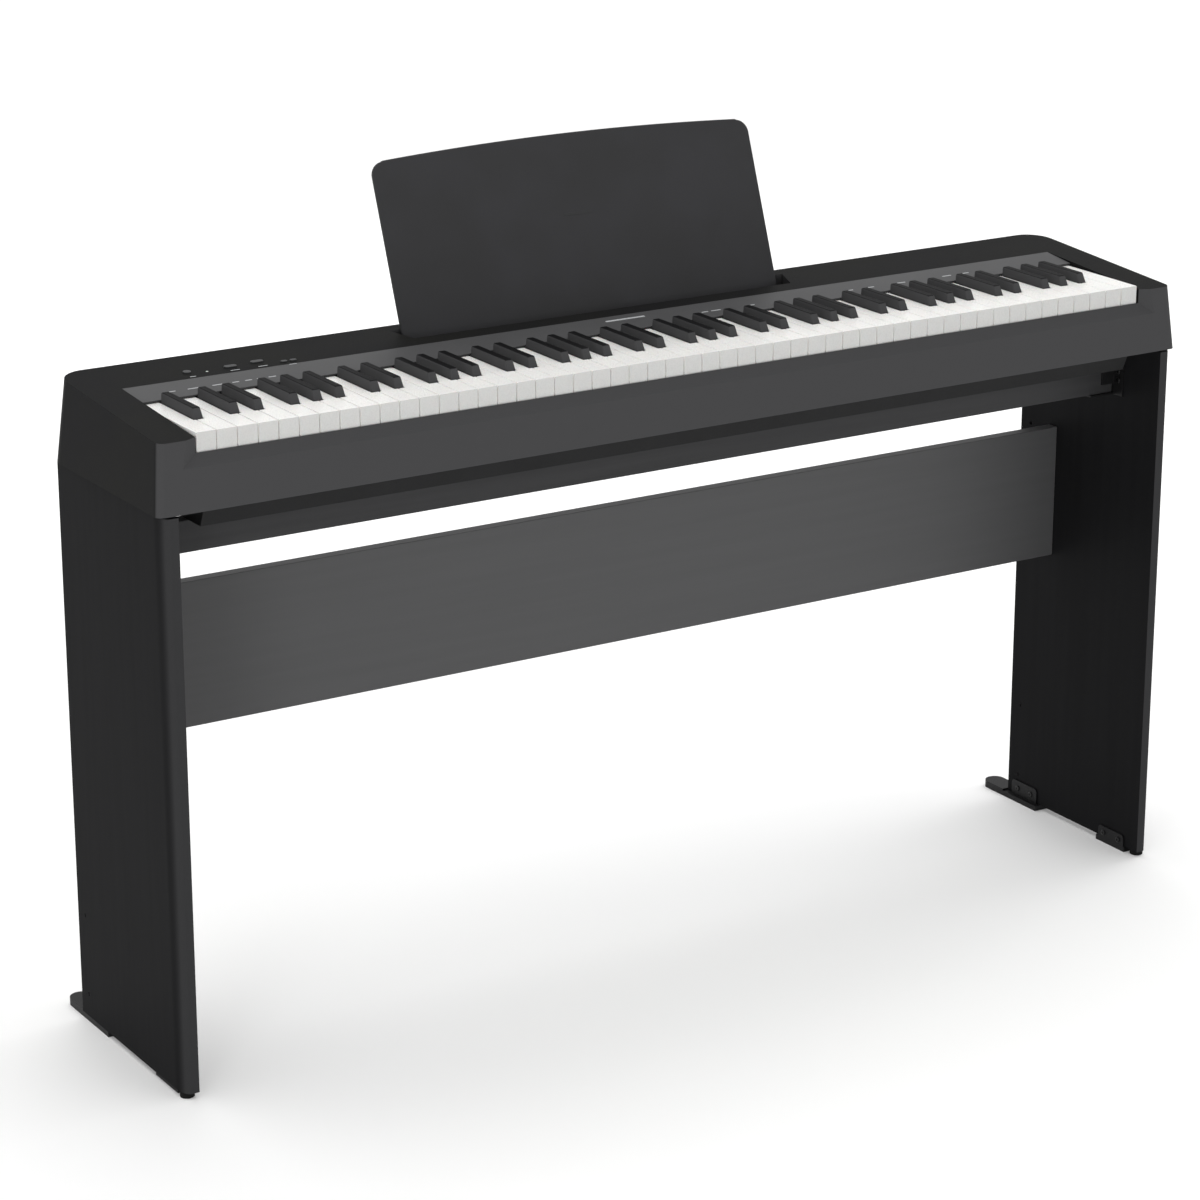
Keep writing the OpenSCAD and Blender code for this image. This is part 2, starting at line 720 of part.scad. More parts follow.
// Plate with an arched upper edge, drawn upright and then leaned back
module music_rest() {
    half = rest_w / 2;
    side_h = rest_h - rest_arch;
    arch_r = (half * half + rest_arch * rest_arch) / (2 * rest_arch);
    sweep = asin((half - rest_corner_r) / arch_r);
    foot_r = 6;
    top_edge = arc(0, rest_h - arch_r, arch_r, 90 - sweep, 90 + sweep, 2 * smooth_steps);
    corner_z = side_h - rest_corner_r;
    right = concat(arc(half - foot_r, foot_r - rest_foot, foot_r, -90, 0, smooth_steps),
        arc(half - rest_corner_r, corner_z, rest_corner_r, 0, 80, smooth_steps));
    left = [for (i = [len(right) - 1:-1:0]) [-right[i][0], right[i][1]]];
    color(rest_black) from_front() translate([0, rest_ref_d, rest_ref_z]) rotate([-rest_tilt, 0, 0])
        along_d(concat(right, top_edge, left), 0, rest_t);
}

// Cap, retaining flange and stem of a push button
module push_button(at) {
    flange_z = -wall - flange_drop - flange_t;
    color("#3a3b3c") from_front() on_top(at) {
        translate([0, 0, flange_z + 0.1]) stadium(at[2], at[3], cap_rise - flange_z - 0.1);
        translate([0, 0, flange_z]) stadium(at[2] + 2, at[3] + 2, flange_t);
        translate([0, 0, flange_z - stem_len]) cylinder(h = stem_len + 0.1, r = stem_r, $fn = 32);
    }
}

module power_button() push_button(power_at);
module function_button() push_button(function_at);
module voice_button() push_button(voice_at);
module minus_button() push_button(minus_at);
module plus_button() push_button(plus_at);

module key_bore() {
    rod_x(-case_w / 2, case_w / 2, pivot_d, pivot_z, pivot_r + pivot_clearance);
}

// White key i, notched beside its black neighbours
module white_key(i) {
    half = (key_pitch - key_gap) / 2;
    x = white_x(i);
    d0 = white_front_d;
    profile = [[d0, skirt_low_z], [d0, white_top_z], [step_d, white_top_z], [step_d, hidden_top_z],
        [180, hidden_top_z], [182, tail_top_z], [tail_end_d, tail_top_z], [tail_end_d, tail_low_z],
        [186, tail_low_z], [150, white_low_z], [d0 + skirt_t, white_low_z], [d0 + skirt_t, skirt_low_z]];
    difference() {
        along_x(profile, x - half, x + half);
        if (has_sharp(i)) block([black_x(i) - slot_w / 2, x + key_pitch], [notch_front_d, 300], [600, 800]);
        if (has_sharp(i - 1)) block([x - key_pitch, black_x(i - 1) + slot_w / 2], [notch_front_d, 300], [600, 800]);
        key_bore();
    }
}

// Black key between white keys i and i + 1
module black_key(i) {
    foot = black_w / 2;
    crown = black_top_w / 2;
    x = black_x(i);
    shoulder_z = white_top_z + 0.6;
    profile = [[black_front_d + 0.8, 711], [black_front_d, white_top_z], [black_front_d + 5.3, black_top_z - 0.4],
        [black_rear_d, black_top_z], [black_rear_d, hidden_top_z], [180, hidden_top_z], [182, tail_top_z],
        [tail_end_d, tail_top_z], [tail_end_d, tail_low_z], [186, tail_low_z], [150, 711]];
    difference() {
        intersection() {
            along_x(profile, x - foot, x + foot);
            along_d([[x - foot, 690], [x + foot, 690], [x + foot, shoulder_z], [x + crown, black_top_z],
                [x - crown, black_top_z], [x - foot, shoulder_z]], 50, 260);
        }
        key_bore();
    }
}

module white_key_node(i) { color(ivory_white) from_front() white_key(i); }
module black_key_node(i) { color(ebony_black) from_front() black_key(i); }

// All white keys from first to last
module white_bank(first, last) {
    color(ivory_white) from_front() for (i = [first:last]) white_key(i);
}

// The black keys that follow white keys first to last
module black_bank(first, last) {
    color(ebony_black) from_front() for (i = [first:last]) if (has_sharp(i)) black_key(i);
}

low_last = middle_c - octave - 1;
high_first = middle_c + 2 * octave;

side_panel("left");  // side_panel_left
side_panel("right");  // side_panel_right
back_board();
support_rail();
rail_bracket("left");  // rail_bracket_left
rail_bracket("right");  // rail_bracket_right
rear_foot("left");  // rear_foot_left
rear_foot("right");  // rear_foot_right
front_foot("left");  // front_foot_left
front_foot("right");  // front_foot_right
foot_glides();
foot_screws();
board_brackets();
top_brackets();
bracket_screws();
case_pads();
keyboard_screws();
top_case();
control_strip();
bottom_case();
case_screws();
key_frame();
pivot_rod();
key_felt();
speaker("left");  // speaker_left
speaker("right");  // speaker_right
main_board();
panel_board();
dc_jack();
usb_port();
pedal_jack();
phones_jack();
power_lamp();
music_rest();
power_button();
function_button();
voice_button();
minus_button();
plus_button();
white_key_node(middle_c);  // key_c4
black_key_node(middle_c);  // key_c_sharp_4
white_key_node(middle_c + 1);  // key_d4
black_key_node(middle_c + 1);  // key_d_sharp_4
white_key_node(middle_c + 2);  // key_e4
white_key_node(middle_c + 3);  // key_f4
black_key_node(middle_c + 3);  // key_f_sharp_4
white_key_node(middle_c + 4);  // key_g4
black_key_node(middle_c + 4);  // key_g_sharp_4
white_key_node(middle_c + 5);  // key_a4
black_key_node(middle_c + 5);  // key_a_sharp_4
white_key_node(middle_c + 6);  // key_b4
white_bank(0, low_last);  // white_keys_low
white_bank(low_last + 1, middle_c - 1);  // white_keys_octave_3
white_bank(middle_c + octave, high_first - 1);  // white_keys_octave_5
white_bank(high_first, white_count - 1);  // white_keys_high
black_bank(0, low_last);  // black_keys_low
black_bank(low_last + 1, middle_c - 1);  // black_keys_octave_3
black_bank(middle_c + octave, high_first - 1);  // black_keys_octave_5
black_bank(high_first, white_count - 1);  // black_keys_high
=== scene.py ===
import json
import math
import bmesh
import bpy
import numpy as np
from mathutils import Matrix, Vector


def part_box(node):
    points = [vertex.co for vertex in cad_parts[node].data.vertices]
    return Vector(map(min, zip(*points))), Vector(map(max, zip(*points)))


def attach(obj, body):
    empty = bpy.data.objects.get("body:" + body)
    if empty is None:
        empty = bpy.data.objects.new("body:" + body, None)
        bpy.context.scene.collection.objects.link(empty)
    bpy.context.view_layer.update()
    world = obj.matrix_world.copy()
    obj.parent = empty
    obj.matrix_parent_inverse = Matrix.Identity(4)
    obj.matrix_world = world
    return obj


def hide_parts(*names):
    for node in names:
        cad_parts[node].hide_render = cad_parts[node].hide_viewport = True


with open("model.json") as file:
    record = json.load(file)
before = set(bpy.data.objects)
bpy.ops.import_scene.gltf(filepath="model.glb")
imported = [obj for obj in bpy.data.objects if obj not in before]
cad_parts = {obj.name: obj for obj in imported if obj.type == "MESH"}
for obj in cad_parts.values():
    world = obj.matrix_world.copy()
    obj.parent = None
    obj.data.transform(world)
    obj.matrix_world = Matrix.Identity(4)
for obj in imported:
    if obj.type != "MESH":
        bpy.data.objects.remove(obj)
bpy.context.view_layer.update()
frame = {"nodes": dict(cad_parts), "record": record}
mm = 0.001
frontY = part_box("side_panel_left")[0].y      # depths below are counted from the panels' front edge
cadBody = {name: body for body, names in frame["record"]["behaviour"]["bodies"].items() for name in names}
print("frame loaded:", len(frame["nodes"]), "nodes")


# Closed outline through the corners, each corner replaced by an arc: the arc's centre is on the corner's
# bisector at r / sin(half angle), and its points swing evenly from one tangent point to the other
def roundedOutline(corners, radii, steps=5):
    c = np.asarray(corners, float)
    r = np.broadcast_to(np.asarray(radii, float), (len(c),))[:, None]
    back = np.roll(c, 1, 0) - c
    ahead = np.roll(c, -1, 0) - c
    back /= np.linalg.norm(back, axis=1, keepdims=True)
    ahead /= np.linalg.norm(ahead, axis=1, keepdims=True)
    bisector = back + ahead
    bisector /= np.linalg.norm(bisector, axis=1, keepdims=True)
    cosHalf = (bisector * ahead).sum(1, keepdims=True)
    sinHalf = np.sqrt(1 - cosHalf ** 2)
    centre = c + bisector * r / sinHalf
    a = (c + back * r * cosHalf / sinHalf - centre)[:, None, :]
    b = (c + ahead * r * cosHalf / sinHalf - centre)[:, None, :]
    swing = np.arccos(np.clip((a * b).sum(2, keepdims=True) / (r[:, None, :] ** 2), -1, 1))
    t = np.linspace(0, 1, steps + 1)[None, :, None]
    points = centre[:, None, :] + (np.sin((1 - t) * swing) * a + np.sin(t * swing) * b) / np.sin(swing)
    return points.reshape(-1, 2)


# Circle or ellipse of n points, anticlockwise: (x + rx cos a, y + ry sin a) at even angles a
def ellipse(rx, ry, n=24, x=0.0, y=0.0):
    a = np.arange(n) * 2 * np.pi / n
    return np.stack([x + rx * np.cos(a), y + ry * np.sin(a)], 1)


# Outward unit normals of a closed outline, as the mean of its two edges' normals, stretched so that an
# outline moved along them stays parallel to itself
def outlineNormals(outline):
    edge = np.roll(outline, -1, 0) - outline
    n = np.stack([edge[:, 1], -edge[:, 0]], 1)
    n /= np.maximum(np.linalg.norm(n, axis=1, keepdims=True), 1e-12)
    mean = n + np.roll(n, 1, 0)
    mean /= np.maximum(np.linalg.norm(mean, axis=1, keepdims=True), 1e-12)
    return mean / np.clip((mean * n).sum(1, keepdims=True), 0.5, 1)


# Rings of a solid: the outline is drawn in along its normals by each pair's first number and lifted to
# its second
def ringsFrom(outline, profile):
    inset = np.array([p[0] for p in profile])[:, None, None]
    lift = np.array([p[1] for p in profile])[:, None, None]
    flat = outline[None] - outlineNormals(outline)[None] * inset
    return np.concatenate([flat, np.broadcast_to(lift, flat.shape[:2] + (1,))], 2)


# Profile of a plate between two heights whose rims are quarter circles of radius r; one more ring lies flat
# just inside each rim and keeps the broad faces evenly shaded
def plateProfile(low, high, r, steps=3, lowRim=None):
    a = np.linspace(0, np.pi / 2, steps + 1)
    s = r if lowRim is None else lowRim
    under = [(s * (1 - math.sin(x)), low + s * (1 - math.cos(x))) for x in a] if s > 0 else [(0.0, low)]
    upper = [(r * (1 - math.cos(x)), high - r * (1 - math.sin(x))) for x in a]
    return ([(s * 1.25, low)] if s > 0 else []) + under + upper + [(r * 1.25, high)]


# Puts flat rings into the room: origin + x * u + y * v + z * (u cross v)
def placed(rings, origin, u=(1, 0, 0), v=(0, 1, 0)):
    u, v = np.asarray(u, float), np.asarray(v, float)
    w = np.cross(u, v)
    return np.asarray(origin, float) + rings[..., :1] * u + rings[..., 1:2] * v + rings[..., 2:3] * w


# One mesh from many stacks of rings: neighbouring rings are joined by quads, first and last are closed
def meshFromRings(name, stacks, finish, sharp=40):
    verts, faces, base = [], [], 0
    for rings in stacks:
        m, n = rings.shape[:2]
        ring = np.arange(m - 1)[:, None] * n
        i = np.arange(n)[None]
        j = (i + 1) % n
        quads = np.stack([ring + i, ring + j, ring + n + j, ring + n + i], 2).reshape(-1, 4) + base
        faces += quads.tolist()
        faces.append((np.arange(n)[::-1] + base).tolist())
        faces.append((np.arange(n) + base + (m - 1) * n).tolist())
        verts.append(rings.reshape(-1, 3))
        base += m * n
    mesh = bpy.data.meshes.new(name)
    mesh.from_pydata(np.concatenate(verts), [], faces)
    mesh.validate()
    mesh.shade_smooth()
    mesh.set_sharp_from_angle(angle=math.radians(sharp))
    obj = bpy.data.objects.new(name, mesh)
    bpy.context.scene.collection.objects.link(obj)
    mesh.materials.append(finish)
    return obj


# Modifier that leans the shading towards the big faces, so that rims stay narrow
def evenShading(obj):
    weighted = obj.modifiers.new("evenShading", "WEIGHTED_NORMAL")
    weighted.keep_sharp = True
    return obj


# A copy of a CAD node with its loose triangles joined, its flat faces made whole and its edges rounded:
# edges that turn more than the angle get an arc of the width, where the rule on edge places lets them
def softened(node, name, finish, width=0.6, steps=2, angle=30, where=None):
    mesh = frame["nodes"][node].data.copy()
    mesh.name = name
    work = bmesh.new()
    work.from_mesh(mesh)
    bmesh.ops.remove_doubles(work, verts=work.verts, dist=2e-6)
    bmesh.ops.dissolve_limit(work, angle_limit=math.radians(0.6), verts=work.verts, edges=work.edges,
                             delimit=set())
    bmesh.ops.dissolve_degenerate(work, edges=work.edges, dist=1e-5)
    work.to_mesh(mesh)
    work.free()
    mesh.materials.clear()
    mesh.materials.append(finish)
    mesh.shade_smooth()
    obj = bpy.data.objects.new(name, mesh)
    bpy.context.scene.collection.objects.link(obj)
    rounding = obj.modifiers.new("rounding", "BEVEL")
    rounding.width = width * mm
    rounding.segments = steps
    rounding.use_clamp_overlap = True
    rounding.miter_outer = "MITER_ARC"
    rounding.harden_normals = False
    if where is None:
        rounding.limit_method = "ANGLE"
        rounding.angle_limit = math.radians(angle)
    else:
        rounding.limit_method = "WEIGHT"
        weights = mesh.attributes.new("bevel_weight_edge", "FLOAT", "EDGE")
        weights.data.foreach_set("value", where(mesh).astype(np.float32))
    mesh.set_sharp_from_angle(angle=math.radians(angle))
    return evenShading(obj)


# Names what a piece stands for: the CAD nodes it replaces, which are hidden, and the body it rides on
def handOver(obj, nodes, body=None):
    nodes = [nodes] if isinstance(nodes, str) else list(nodes)
    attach(obj, body or cadBody[nodes[0]])
    if nodes:
        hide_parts(*nodes)
    return obj


# Lowest and highest corner of a CAD node as arrays
def cornersOf(node):
    low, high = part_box(node)
    return np.array(low), np.array(high)


# Linear value of a display colour given as hex digits: c / 12.92 up to 0.04045, and above that
# ((c + 0.055) / 1.055) to the power 2.4
def linear(code):
    c = np.array([int(code[i:i + 2], 16) / 255 for i in (0, 2, 4)])
    c = np.where(c <= 0.04045, c / 12.92, ((c + 0.055) / 1.055) ** 2.4)
    return (*c.tolist(), 1.0)


finishLook = {
    # panel: the front colour is painted light on the edges to the front and rear
    "panel": dict(shade="1a1a1b", second="1c1c1d", patch=7, stretch=(60, 60, 2.2), rough=(0.46, 0.50),
                  grain=("noise", 12, 0.03, 0.0001), specular=0.015, front="363637"),
    # rail: its grey, lighter than the panels' black, is painted light falling on its front
    "rail": dict(shade="343435", second="383839", patch=7, stretch=(2.2, 60, 60), rough=(0.44, 0.54),
                 grain=("noise", 12, 0.05, 0.0001), specular=0.14),
    # board: its grey, lighter than the panels' black, is painted light falling on its front
    "board": dict(shade="505051", second="525253", patch=7, stretch=(2.2, 60, 60), rough=(0.44, 0.50),
                  grain=("noise", 12, 0.03, 0.0001), specular=0.2),
    "bracketSteel": dict(shade="0b0b0c", second="101011", patch=40, rough=(0.42, 0.62),
                         grain=("voronoi", 1500, 0.22, 0.0001), specular=0.25),
    "footSteel": dict(shade="08080a", second="0d0d0e", patch=40, rough=(0.40, 0.60),
                      grain=("voronoi", 1500, 0.22, 0.0001), specular=0.25),
    "rubber": dict(shade="0c0c0c", second="131313", patch=120, rough=(0.80, 0.95),
                   grain=("noise", 2500, 0.25, 0.0001), specular=0.2),
    "screw": dict(shade="2a2a2b", second="3a3a3a", patch=300, rough=(0.28, 0.46),
                  grain=("noise", 1800, 0.15, 0.00005), metal=0.85, specular=0.5),
    "blackScrew": dict(shade="0a0a0b", second="101011", patch=300, rough=(0.50, 0.64),
                       grain=("noise", 1800, 0.15, 0.00005), specular=0.1),
    # case: the front colour is painted light on the faces to the front and rear; the top and sides keep the
    # plain black
    "case": dict(shade="1e1e1f", second="20201f", patch=9, rough=(0.44, 0.58),
                 grain=("voronoi", 1900, 0.16, 0.0001), specular=0.02, front="454546"),
    # tray: darker than the case, painted shade under the case
    "tray": dict(shade="121213", second="161617", patch=14, rough=(0.55, 0.70),
                 grain=("voronoi", 1400, 0.28, 0.00012), specular=0.2),
    "strip": dict(shade="474748", second="4a4a4b", patch=16, rough=(0.42, 0.54),
                  grain=("noise", 2600, 0.14, 0.0001), specular=0.2),
    "rest": dict(shade="353536", second="38383a", patch=12, rough=(0.46, 0.60),
                 grain=("voronoi", 1700, 0.20, 0.0001), specular=0.14),
    "button": dict(shade="2d2e2f", second="323334", patch=90, rough=(0.34, 0.46),
                   grain=("noise", 3000, 0.10, 0.00006), specular=0.35),
    "ink": dict(shade="a9abad", second="b9bbbc", patch=400, rough=(0.50, 0.62),
                grain=("noise", 4000, 0.08, 0.00003), specular=0.2),
    "dimInk": dict(shade="1b1c1d", second="202122", patch=400, rough=(0.30, 0.42),
                   grain=("noise", 4000, 0.08, 0.00003), specular=0.5),
    # ivory: the front colour is painted shade on the key fronts and rears
    "ivory": dict(shade="f3f2ef", second="f7f6f3", patch=35, rough=(0.22, 0.34),
                  grain=("noise", 900, 0.05, 0.00008), specular=0.40, soft=0.04, front="c8c8c6"),
    # ebony: the flank colour is painted light on the keys' sides, lighter than the dark top
    "ebony": dict(shade="0e0e0f", second="141415", patch=60, stretch=(1, 0.25, 1), rough=(0.38, 0.54),
                  grain=("noise", 2200, 0.20, 0.00008), specular=0.03, paintedFlankLight="484849"),
    "zinc": dict(shade="8b8f93", second="a2a6aa", patch=55, rough=(0.30, 0.52),
                 grain=("voronoi", 90, 0.08, 0.0001), metal=1.0, specular=0.5),
    "rod": dict(shade="9a9c9e", second="b4b6b8", patch=30, stretch=(0.4, 30, 30), rough=(0.16, 0.32),
                grain=("noise", 60, 0.10, 0.00006), metal=1.0, specular=0.5),
    "felt": dict(shade="7a1418", second="94201f", patch=220, rough=(0.90, 1.0),
                 grain=("noise", 1600, 0.7, 0.0004), specular=0.1, sheen=0.6),
    "cone": dict(shade="151517", second="232326", patch=160, rough=(0.68, 0.86),
                 grain=("noise", 900, 0.45, 0.0003), specular=0.2),
    "circuit": dict(shade="0b3a22", second="14522f", patch=260, rough=(0.30, 0.50),
                    grain=("brick", 120, 0.35, 0.00008), specular=0.5),
    "socket": dict(shade="101011", second="18181a", patch=200, rough=(0.32, 0.46),
                   grain=("noise", 2600, 0.10, 0.00006), specular=0.4),
    "nickel": dict(shade="b4b5b4", second="c8c8c6", patch=180, rough=(0.18, 0.30),
                   grain=("noise", 700, 0.06, 0.00004), metal=1.0, specular=0.5),
    "lens": dict(shade="cfd2cc", second="e2e4df", patch=600, rough=(0.12, 0.22),
                 grain=("noise", 1200, 0.05, 0.00004), specular=0.6, soft=0.2),
}
finishBase = dict(
    broadDetail=5, broadRange=(0.35, 0.65),      # part of the broad noise that goes from shade to second
    stretchedScale=1.6,                          # scale of the broad noise where it is stretched
    grainRange=(0.2, 0.8),                       # part of the fine texture that goes from low to high
    sheenRough=0.5, softDepth=0.002,
    leaning=(("front", "Y", 0.12, 0.55), ("paintedFlankLight", "Z", 0.9, 0.5)),      # painted light and shade by facing: its shade, axis, start and end
)


# Map Range node: low + (high - low) * (value - start) / (end - start), kept between low and high
def mapRange(tree, value, start, end, low=0.0, high=1.0):
    node = tree.nodes.new("ShaderNodeMapRange")
    node.inputs["From Min"].default_value = start
    node.inputs["From Max"].default_value = end
    node.inputs["To Min"].default_value = low
    node.inputs["To Max"].default_value = high
    tree.links.new(value, node.inputs["Value"])
    return node


# Finish from its look: colour = shade + (second - shade) * broad noise, then towards the painted light and
# shade of front or flank by how far the normal leans that way; height = strength * fine texture, a few
# hundredths of a millimetre, and roughness = low + (high - low) * the same texture
def makeFinish(name):
    look = finishLook[name]
    mat = bpy.data.materials.new(name)
    mat.use_nodes = True
    tree = mat.node_tree
    shader = tree.nodes["Principled BSDF"]
    shader.inputs["Metallic"].default_value = look.get("metal", 0.0)
    shader.inputs["Specular IOR Level"].default_value = look["specular"]
    if look.get("sheen"):
        shader.inputs["Sheen Weight"].default_value = look["sheen"]
        shader.inputs["Sheen Roughness"].default_value = finishBase["sheenRough"]
    if look.get("glow"):
        shader.inputs["Emission Color"].default_value = (1, 1, 1, 1)
        shader.inputs["Emission Strength"].default_value = look["glow"]
    if look.get("soft"):
        shader.inputs["Subsurface Weight"].default_value = look["soft"]
        shader.inputs["Subsurface Scale"].default_value = finishBase["softDepth"]
    place = tree.nodes.new("ShaderNodeTexCoord")
    turn = tree.nodes.new("ShaderNodeMapping")
    turn.inputs["Scale"].default_value = look.get("stretch", (1, 1, 1))
    tree.links.new(place.outputs["Object"], turn.inputs["Vector"])

    broad = tree.nodes.new("ShaderNodeTexNoise")
    broad.inputs["Scale"].default_value = finishBase["stretchedScale"] if "stretch" in look else look["patch"]
    broad.inputs["Detail"].default_value = finishBase["broadDetail"]
    tree.links.new(turn.outputs["Vector"], broad.inputs["Vector"])
    blend = tree.nodes.new("ShaderNodeMix")
    blend.data_type = "RGBA"
    blend.inputs[6].default_value = linear(look["shade"])
    blend.inputs[7].default_value = linear(look["second"])
    spread = mapRange(tree, broad.outputs["Fac"], *finishBase["broadRange"])
    tree.links.new(spread.outputs["Result"], blend.inputs[0])
    colour = blend.outputs[2]

    for key, axis, start, end in finishBase["leaning"]:
        if look.get(key):                    # painted light and shade: front goes on faces to the front and rear, the flank's painted light beside the top
            surface = tree.nodes.new("ShaderNodeNewGeometry")
            parts = tree.nodes.new("ShaderNodeSeparateXYZ")
            share = tree.nodes.new("ShaderNodeMath")
            share.operation = "ABSOLUTE"
            tree.links.new(surface.outputs["Normal"], parts.inputs[0])
            tree.links.new(parts.outputs[axis], share.inputs[0])
            facing = mapRange(tree, share.outputs[0], start, end)
            facing.interpolation_type = "SMOOTHSTEP"
            # Mix that paints the facing's light and shade into the colour
            paintedLightMix = tree.nodes.new("ShaderNodeMix")
            paintedLightMix.data_type = "RGBA"
            paintedLightMix.inputs[7].default_value = linear(look[key])
            tree.links.new(facing.outputs["Result"], paintedLightMix.inputs[0])
            tree.links.new(colour, paintedLightMix.inputs[6])
            colour = paintedLightMix.outputs[2]
    tree.links.new(colour, shader.inputs["Base Color"])

    kind, scale, strength, height = look["grain"]
    fine = tree.nodes.new({"noise": "ShaderNodeTexNoise", "voronoi": "ShaderNodeTexVoronoi",
                           "brick": "ShaderNodeTexBrick"}[kind])
    fine.inputs["Scale"].default_value = scale
    tree.links.new(turn.outputs["Vector"], fine.inputs["Vector"])
    relief = fine.outputs["Distance"] if kind == "voronoi" else fine.outputs["Fac"]
    gloss = mapRange(tree, relief, *finishBase["grainRange"], *look["rough"])
    tree.links.new(gloss.outputs["Result"], shader.inputs["Roughness"])
    bump = tree.nodes.new("ShaderNodeBump")
    bump.inputs["Strength"].default_value = strength
    bump.inputs["Distance"].default_value = height
    tree.links.new(relief, bump.inputs["Height"])
    tree.links.new(bump.outputs["Normal"], shader.inputs["Normal"])
    return mat


finishes = {name: makeFinish(name) for name in finishLook}
print("finishes made:", len(finishes))


# Lengths here and in the dictionaries below are in mm, apart from the studio's
standLook = dict(
    panelRounding=0.9, boardRim=0.7,      # rounded edges of the laminated boards
    boardCorner=1.3,                      # corner radius of a board's outline, in rims
    steelRounding=0.5,                    # edges of the pressed steel
    padRim=0.4, padCorner=1.5, glideRim=0.8,
)

for side in ("left", "right"):
    node = "side_panel_" + side
    panel = softened(node, "sidePanel." + side, finishes["panel"], standLook["panelRounding"], 3, 50)
    handOver(panel, node)


# A board with straight edges: rectangle in X and Z carried through its depth, rims rounded
def makeBoard(node, name, finish, rim):
    low, high = cornersOf(node)
    corners = [(low[0], low[2]), (high[0], low[2]), (high[0], high[2]), (low[0], high[2])]
    outline = roundedOutline(corners, standLook["boardCorner"] * rim * mm, 3)
    rings = ringsFrom(outline, plateProfile(-high[1], -low[1], rim * mm))
    return evenShading(meshFromRings(name, [placed(rings, (0, 0, 0), (1, 0, 0), (0, 0, 1))], finish))


handOver(makeBoard("back_board", "backBoard", finishes["board"], standLook["boardRim"]),
         "back_board")
handOver(makeBoard("support_rail", "supportRail", finishes["rail"], standLook["boardRim"]),
         "support_rail")

for side in ("left", "right"):
    for node, name, slot, key in (("rail_bracket_", "railBracket.", "bracket_steel", "bracketSteel"),
                                  ("rear_foot_", "rearFoot.", "foot_steel", "footSteel"),
                                  ("front_foot_", "frontFoot.", "foot_steel", "footSteel")):
        piece = softened(node + side, name + side, finishes[key], standLook["steelRounding"], angle=40)
        handOver(piece, node + side)
for node, name in (("board_brackets", "boardAngles"), ("top_brackets", "topAngles")):
    handOver(softened(node, name, finishes["bracketSteel"], standLook["steelRounding"], angle=40),
             node)


# Reads one property of every item of a mesh as an array, width numbers for each
def readAll(items, key, width=1, kind=float):
    values = np.zeros(len(items) * width, kind)
    items.foreach_get(key, values)
    return values.reshape(-1, width) if width > 1 else values


# Boxes of the separate solids of a node: each point takes the lowest number among its neighbours until
# nothing changes, and the points that share a number are one solid
def solidsOf(node):
    mesh = frame["nodes"][node].data
    places = readAll(mesh.vertices, "co", 3)
    ends = readAll(mesh.edges, "vertices", 2, int)
    point = np.unique(np.round(places / (0.002 * mm)), axis=0, return_inverse=True)[1].ravel()
    a, b = point[ends[:, 0]], point[ends[:, 1]]
    group = np.arange(point.max() + 1)
    while True:
        new = group.copy()
        np.minimum.at(new, a, group[b])
        np.minimum.at(new, b, group[a])
        new = new[new]
        if (new == group).all():
            break
        group = new
    member = group[point]
    return [(places[member == g].min(0), places[member == g].max(0)) for g in np.unique(member)]


# Screw head as stacked rings: a low dome with a cross-shaped recess, whose edge lies at
# min(reach, half width / sin(angle from the nearest arm)), and below it the shank
def screwRings(head, rise, reach, half, depth, shank, length, n=32):
    a = (np.arange(n) + 0.5) * 2 * np.pi / n
    off = np.abs((a + np.pi / 4) % (np.pi / 2) - np.pi / 4)
    cross = np.minimum(reach, half / np.maximum(np.sin(off), 1e-3))
    radius = [shank * 0.4, shank, shank, head, head, head * 0.94, head * 0.78, head * 0.62,
              cross, cross * 0.86]
    lift = [-length, -length + shank, -0.05 * mm, 0, rise * 0.45, rise * 0.75, rise * 0.94, rise,
            rise, rise - depth]
    r = np.stack([np.broadcast_to(x, (n,)) for x in radius])
    z = np.broadcast_to(np.array(lift)[:, None], r.shape)
    return np.stack([r * np.cos(a), r * np.sin(a), z], 2)


screwLook = dict(
    foot_screws=dict(name="footScrews", head=3.6, rise=1.6, shank=1.9, recess=1.9, finish="screw"),
    bracket_screws=dict(name="bracketScrews", head=3.6, rise=1.6, shank=1.9, recess=1.9, finish="screw"),
    case_screws=dict(name="caseScrews", head=3.2, rise=1.8, shank=1.5, recess=1.7, finish="blackScrew"),
    keyboard_screws=dict(name="keyboardBolts", head=6.0, rise=4.0, shank=3.0, recess=3.0, finish="screw"),
)
recessLook = dict(half=0.48, depth=0.9)      # half width of the cross's arms, and how deep it is


# Screws of a node, one for each solid, along the solid's longest axis: the head's seat is at
# middle + head * (length / 2 - rise), where head points the way that the head looks
def makeScrews(node, look):
    stacks = []
    for low, high in solidsOf(node):
        size = high - low
        middle = (low + high) / 2
        axis = int(np.argmax(size))
        head = np.zeros(3)
        if axis == 0:                        # along X: the head looks towards the middle of the piano
            head[0] = -np.sign(middle[0])
        elif axis == 1:                      # along Y: the head is on the wall side
            head[1] = 1.0
        else:                                # upright: the head is underneath
            head[2] = -1.0
        tip = middle + head * size[axis] / 2
        seat = tip - head * look["rise"] * mm
        u = np.array([0.0, 1.0, 0.0]) if axis != 1 else np.array([0.0, 0.0, 1.0])
        v = np.cross(head, u)
        rings = screwRings(look["head"] * mm, look["rise"] * mm, look["recess"] * mm, recessLook["half"] * mm,
                           recessLook["depth"] * mm, look["shank"] * mm, size[axis] - look["rise"] * mm)
        stacks.append(placed(rings, seat, u, v))
    return evenShading(meshFromRings(look["name"], stacks, finishes[look["finish"]], 35))


for node, look in screwLook.items():
    handOver(makeScrews(node, look), node)


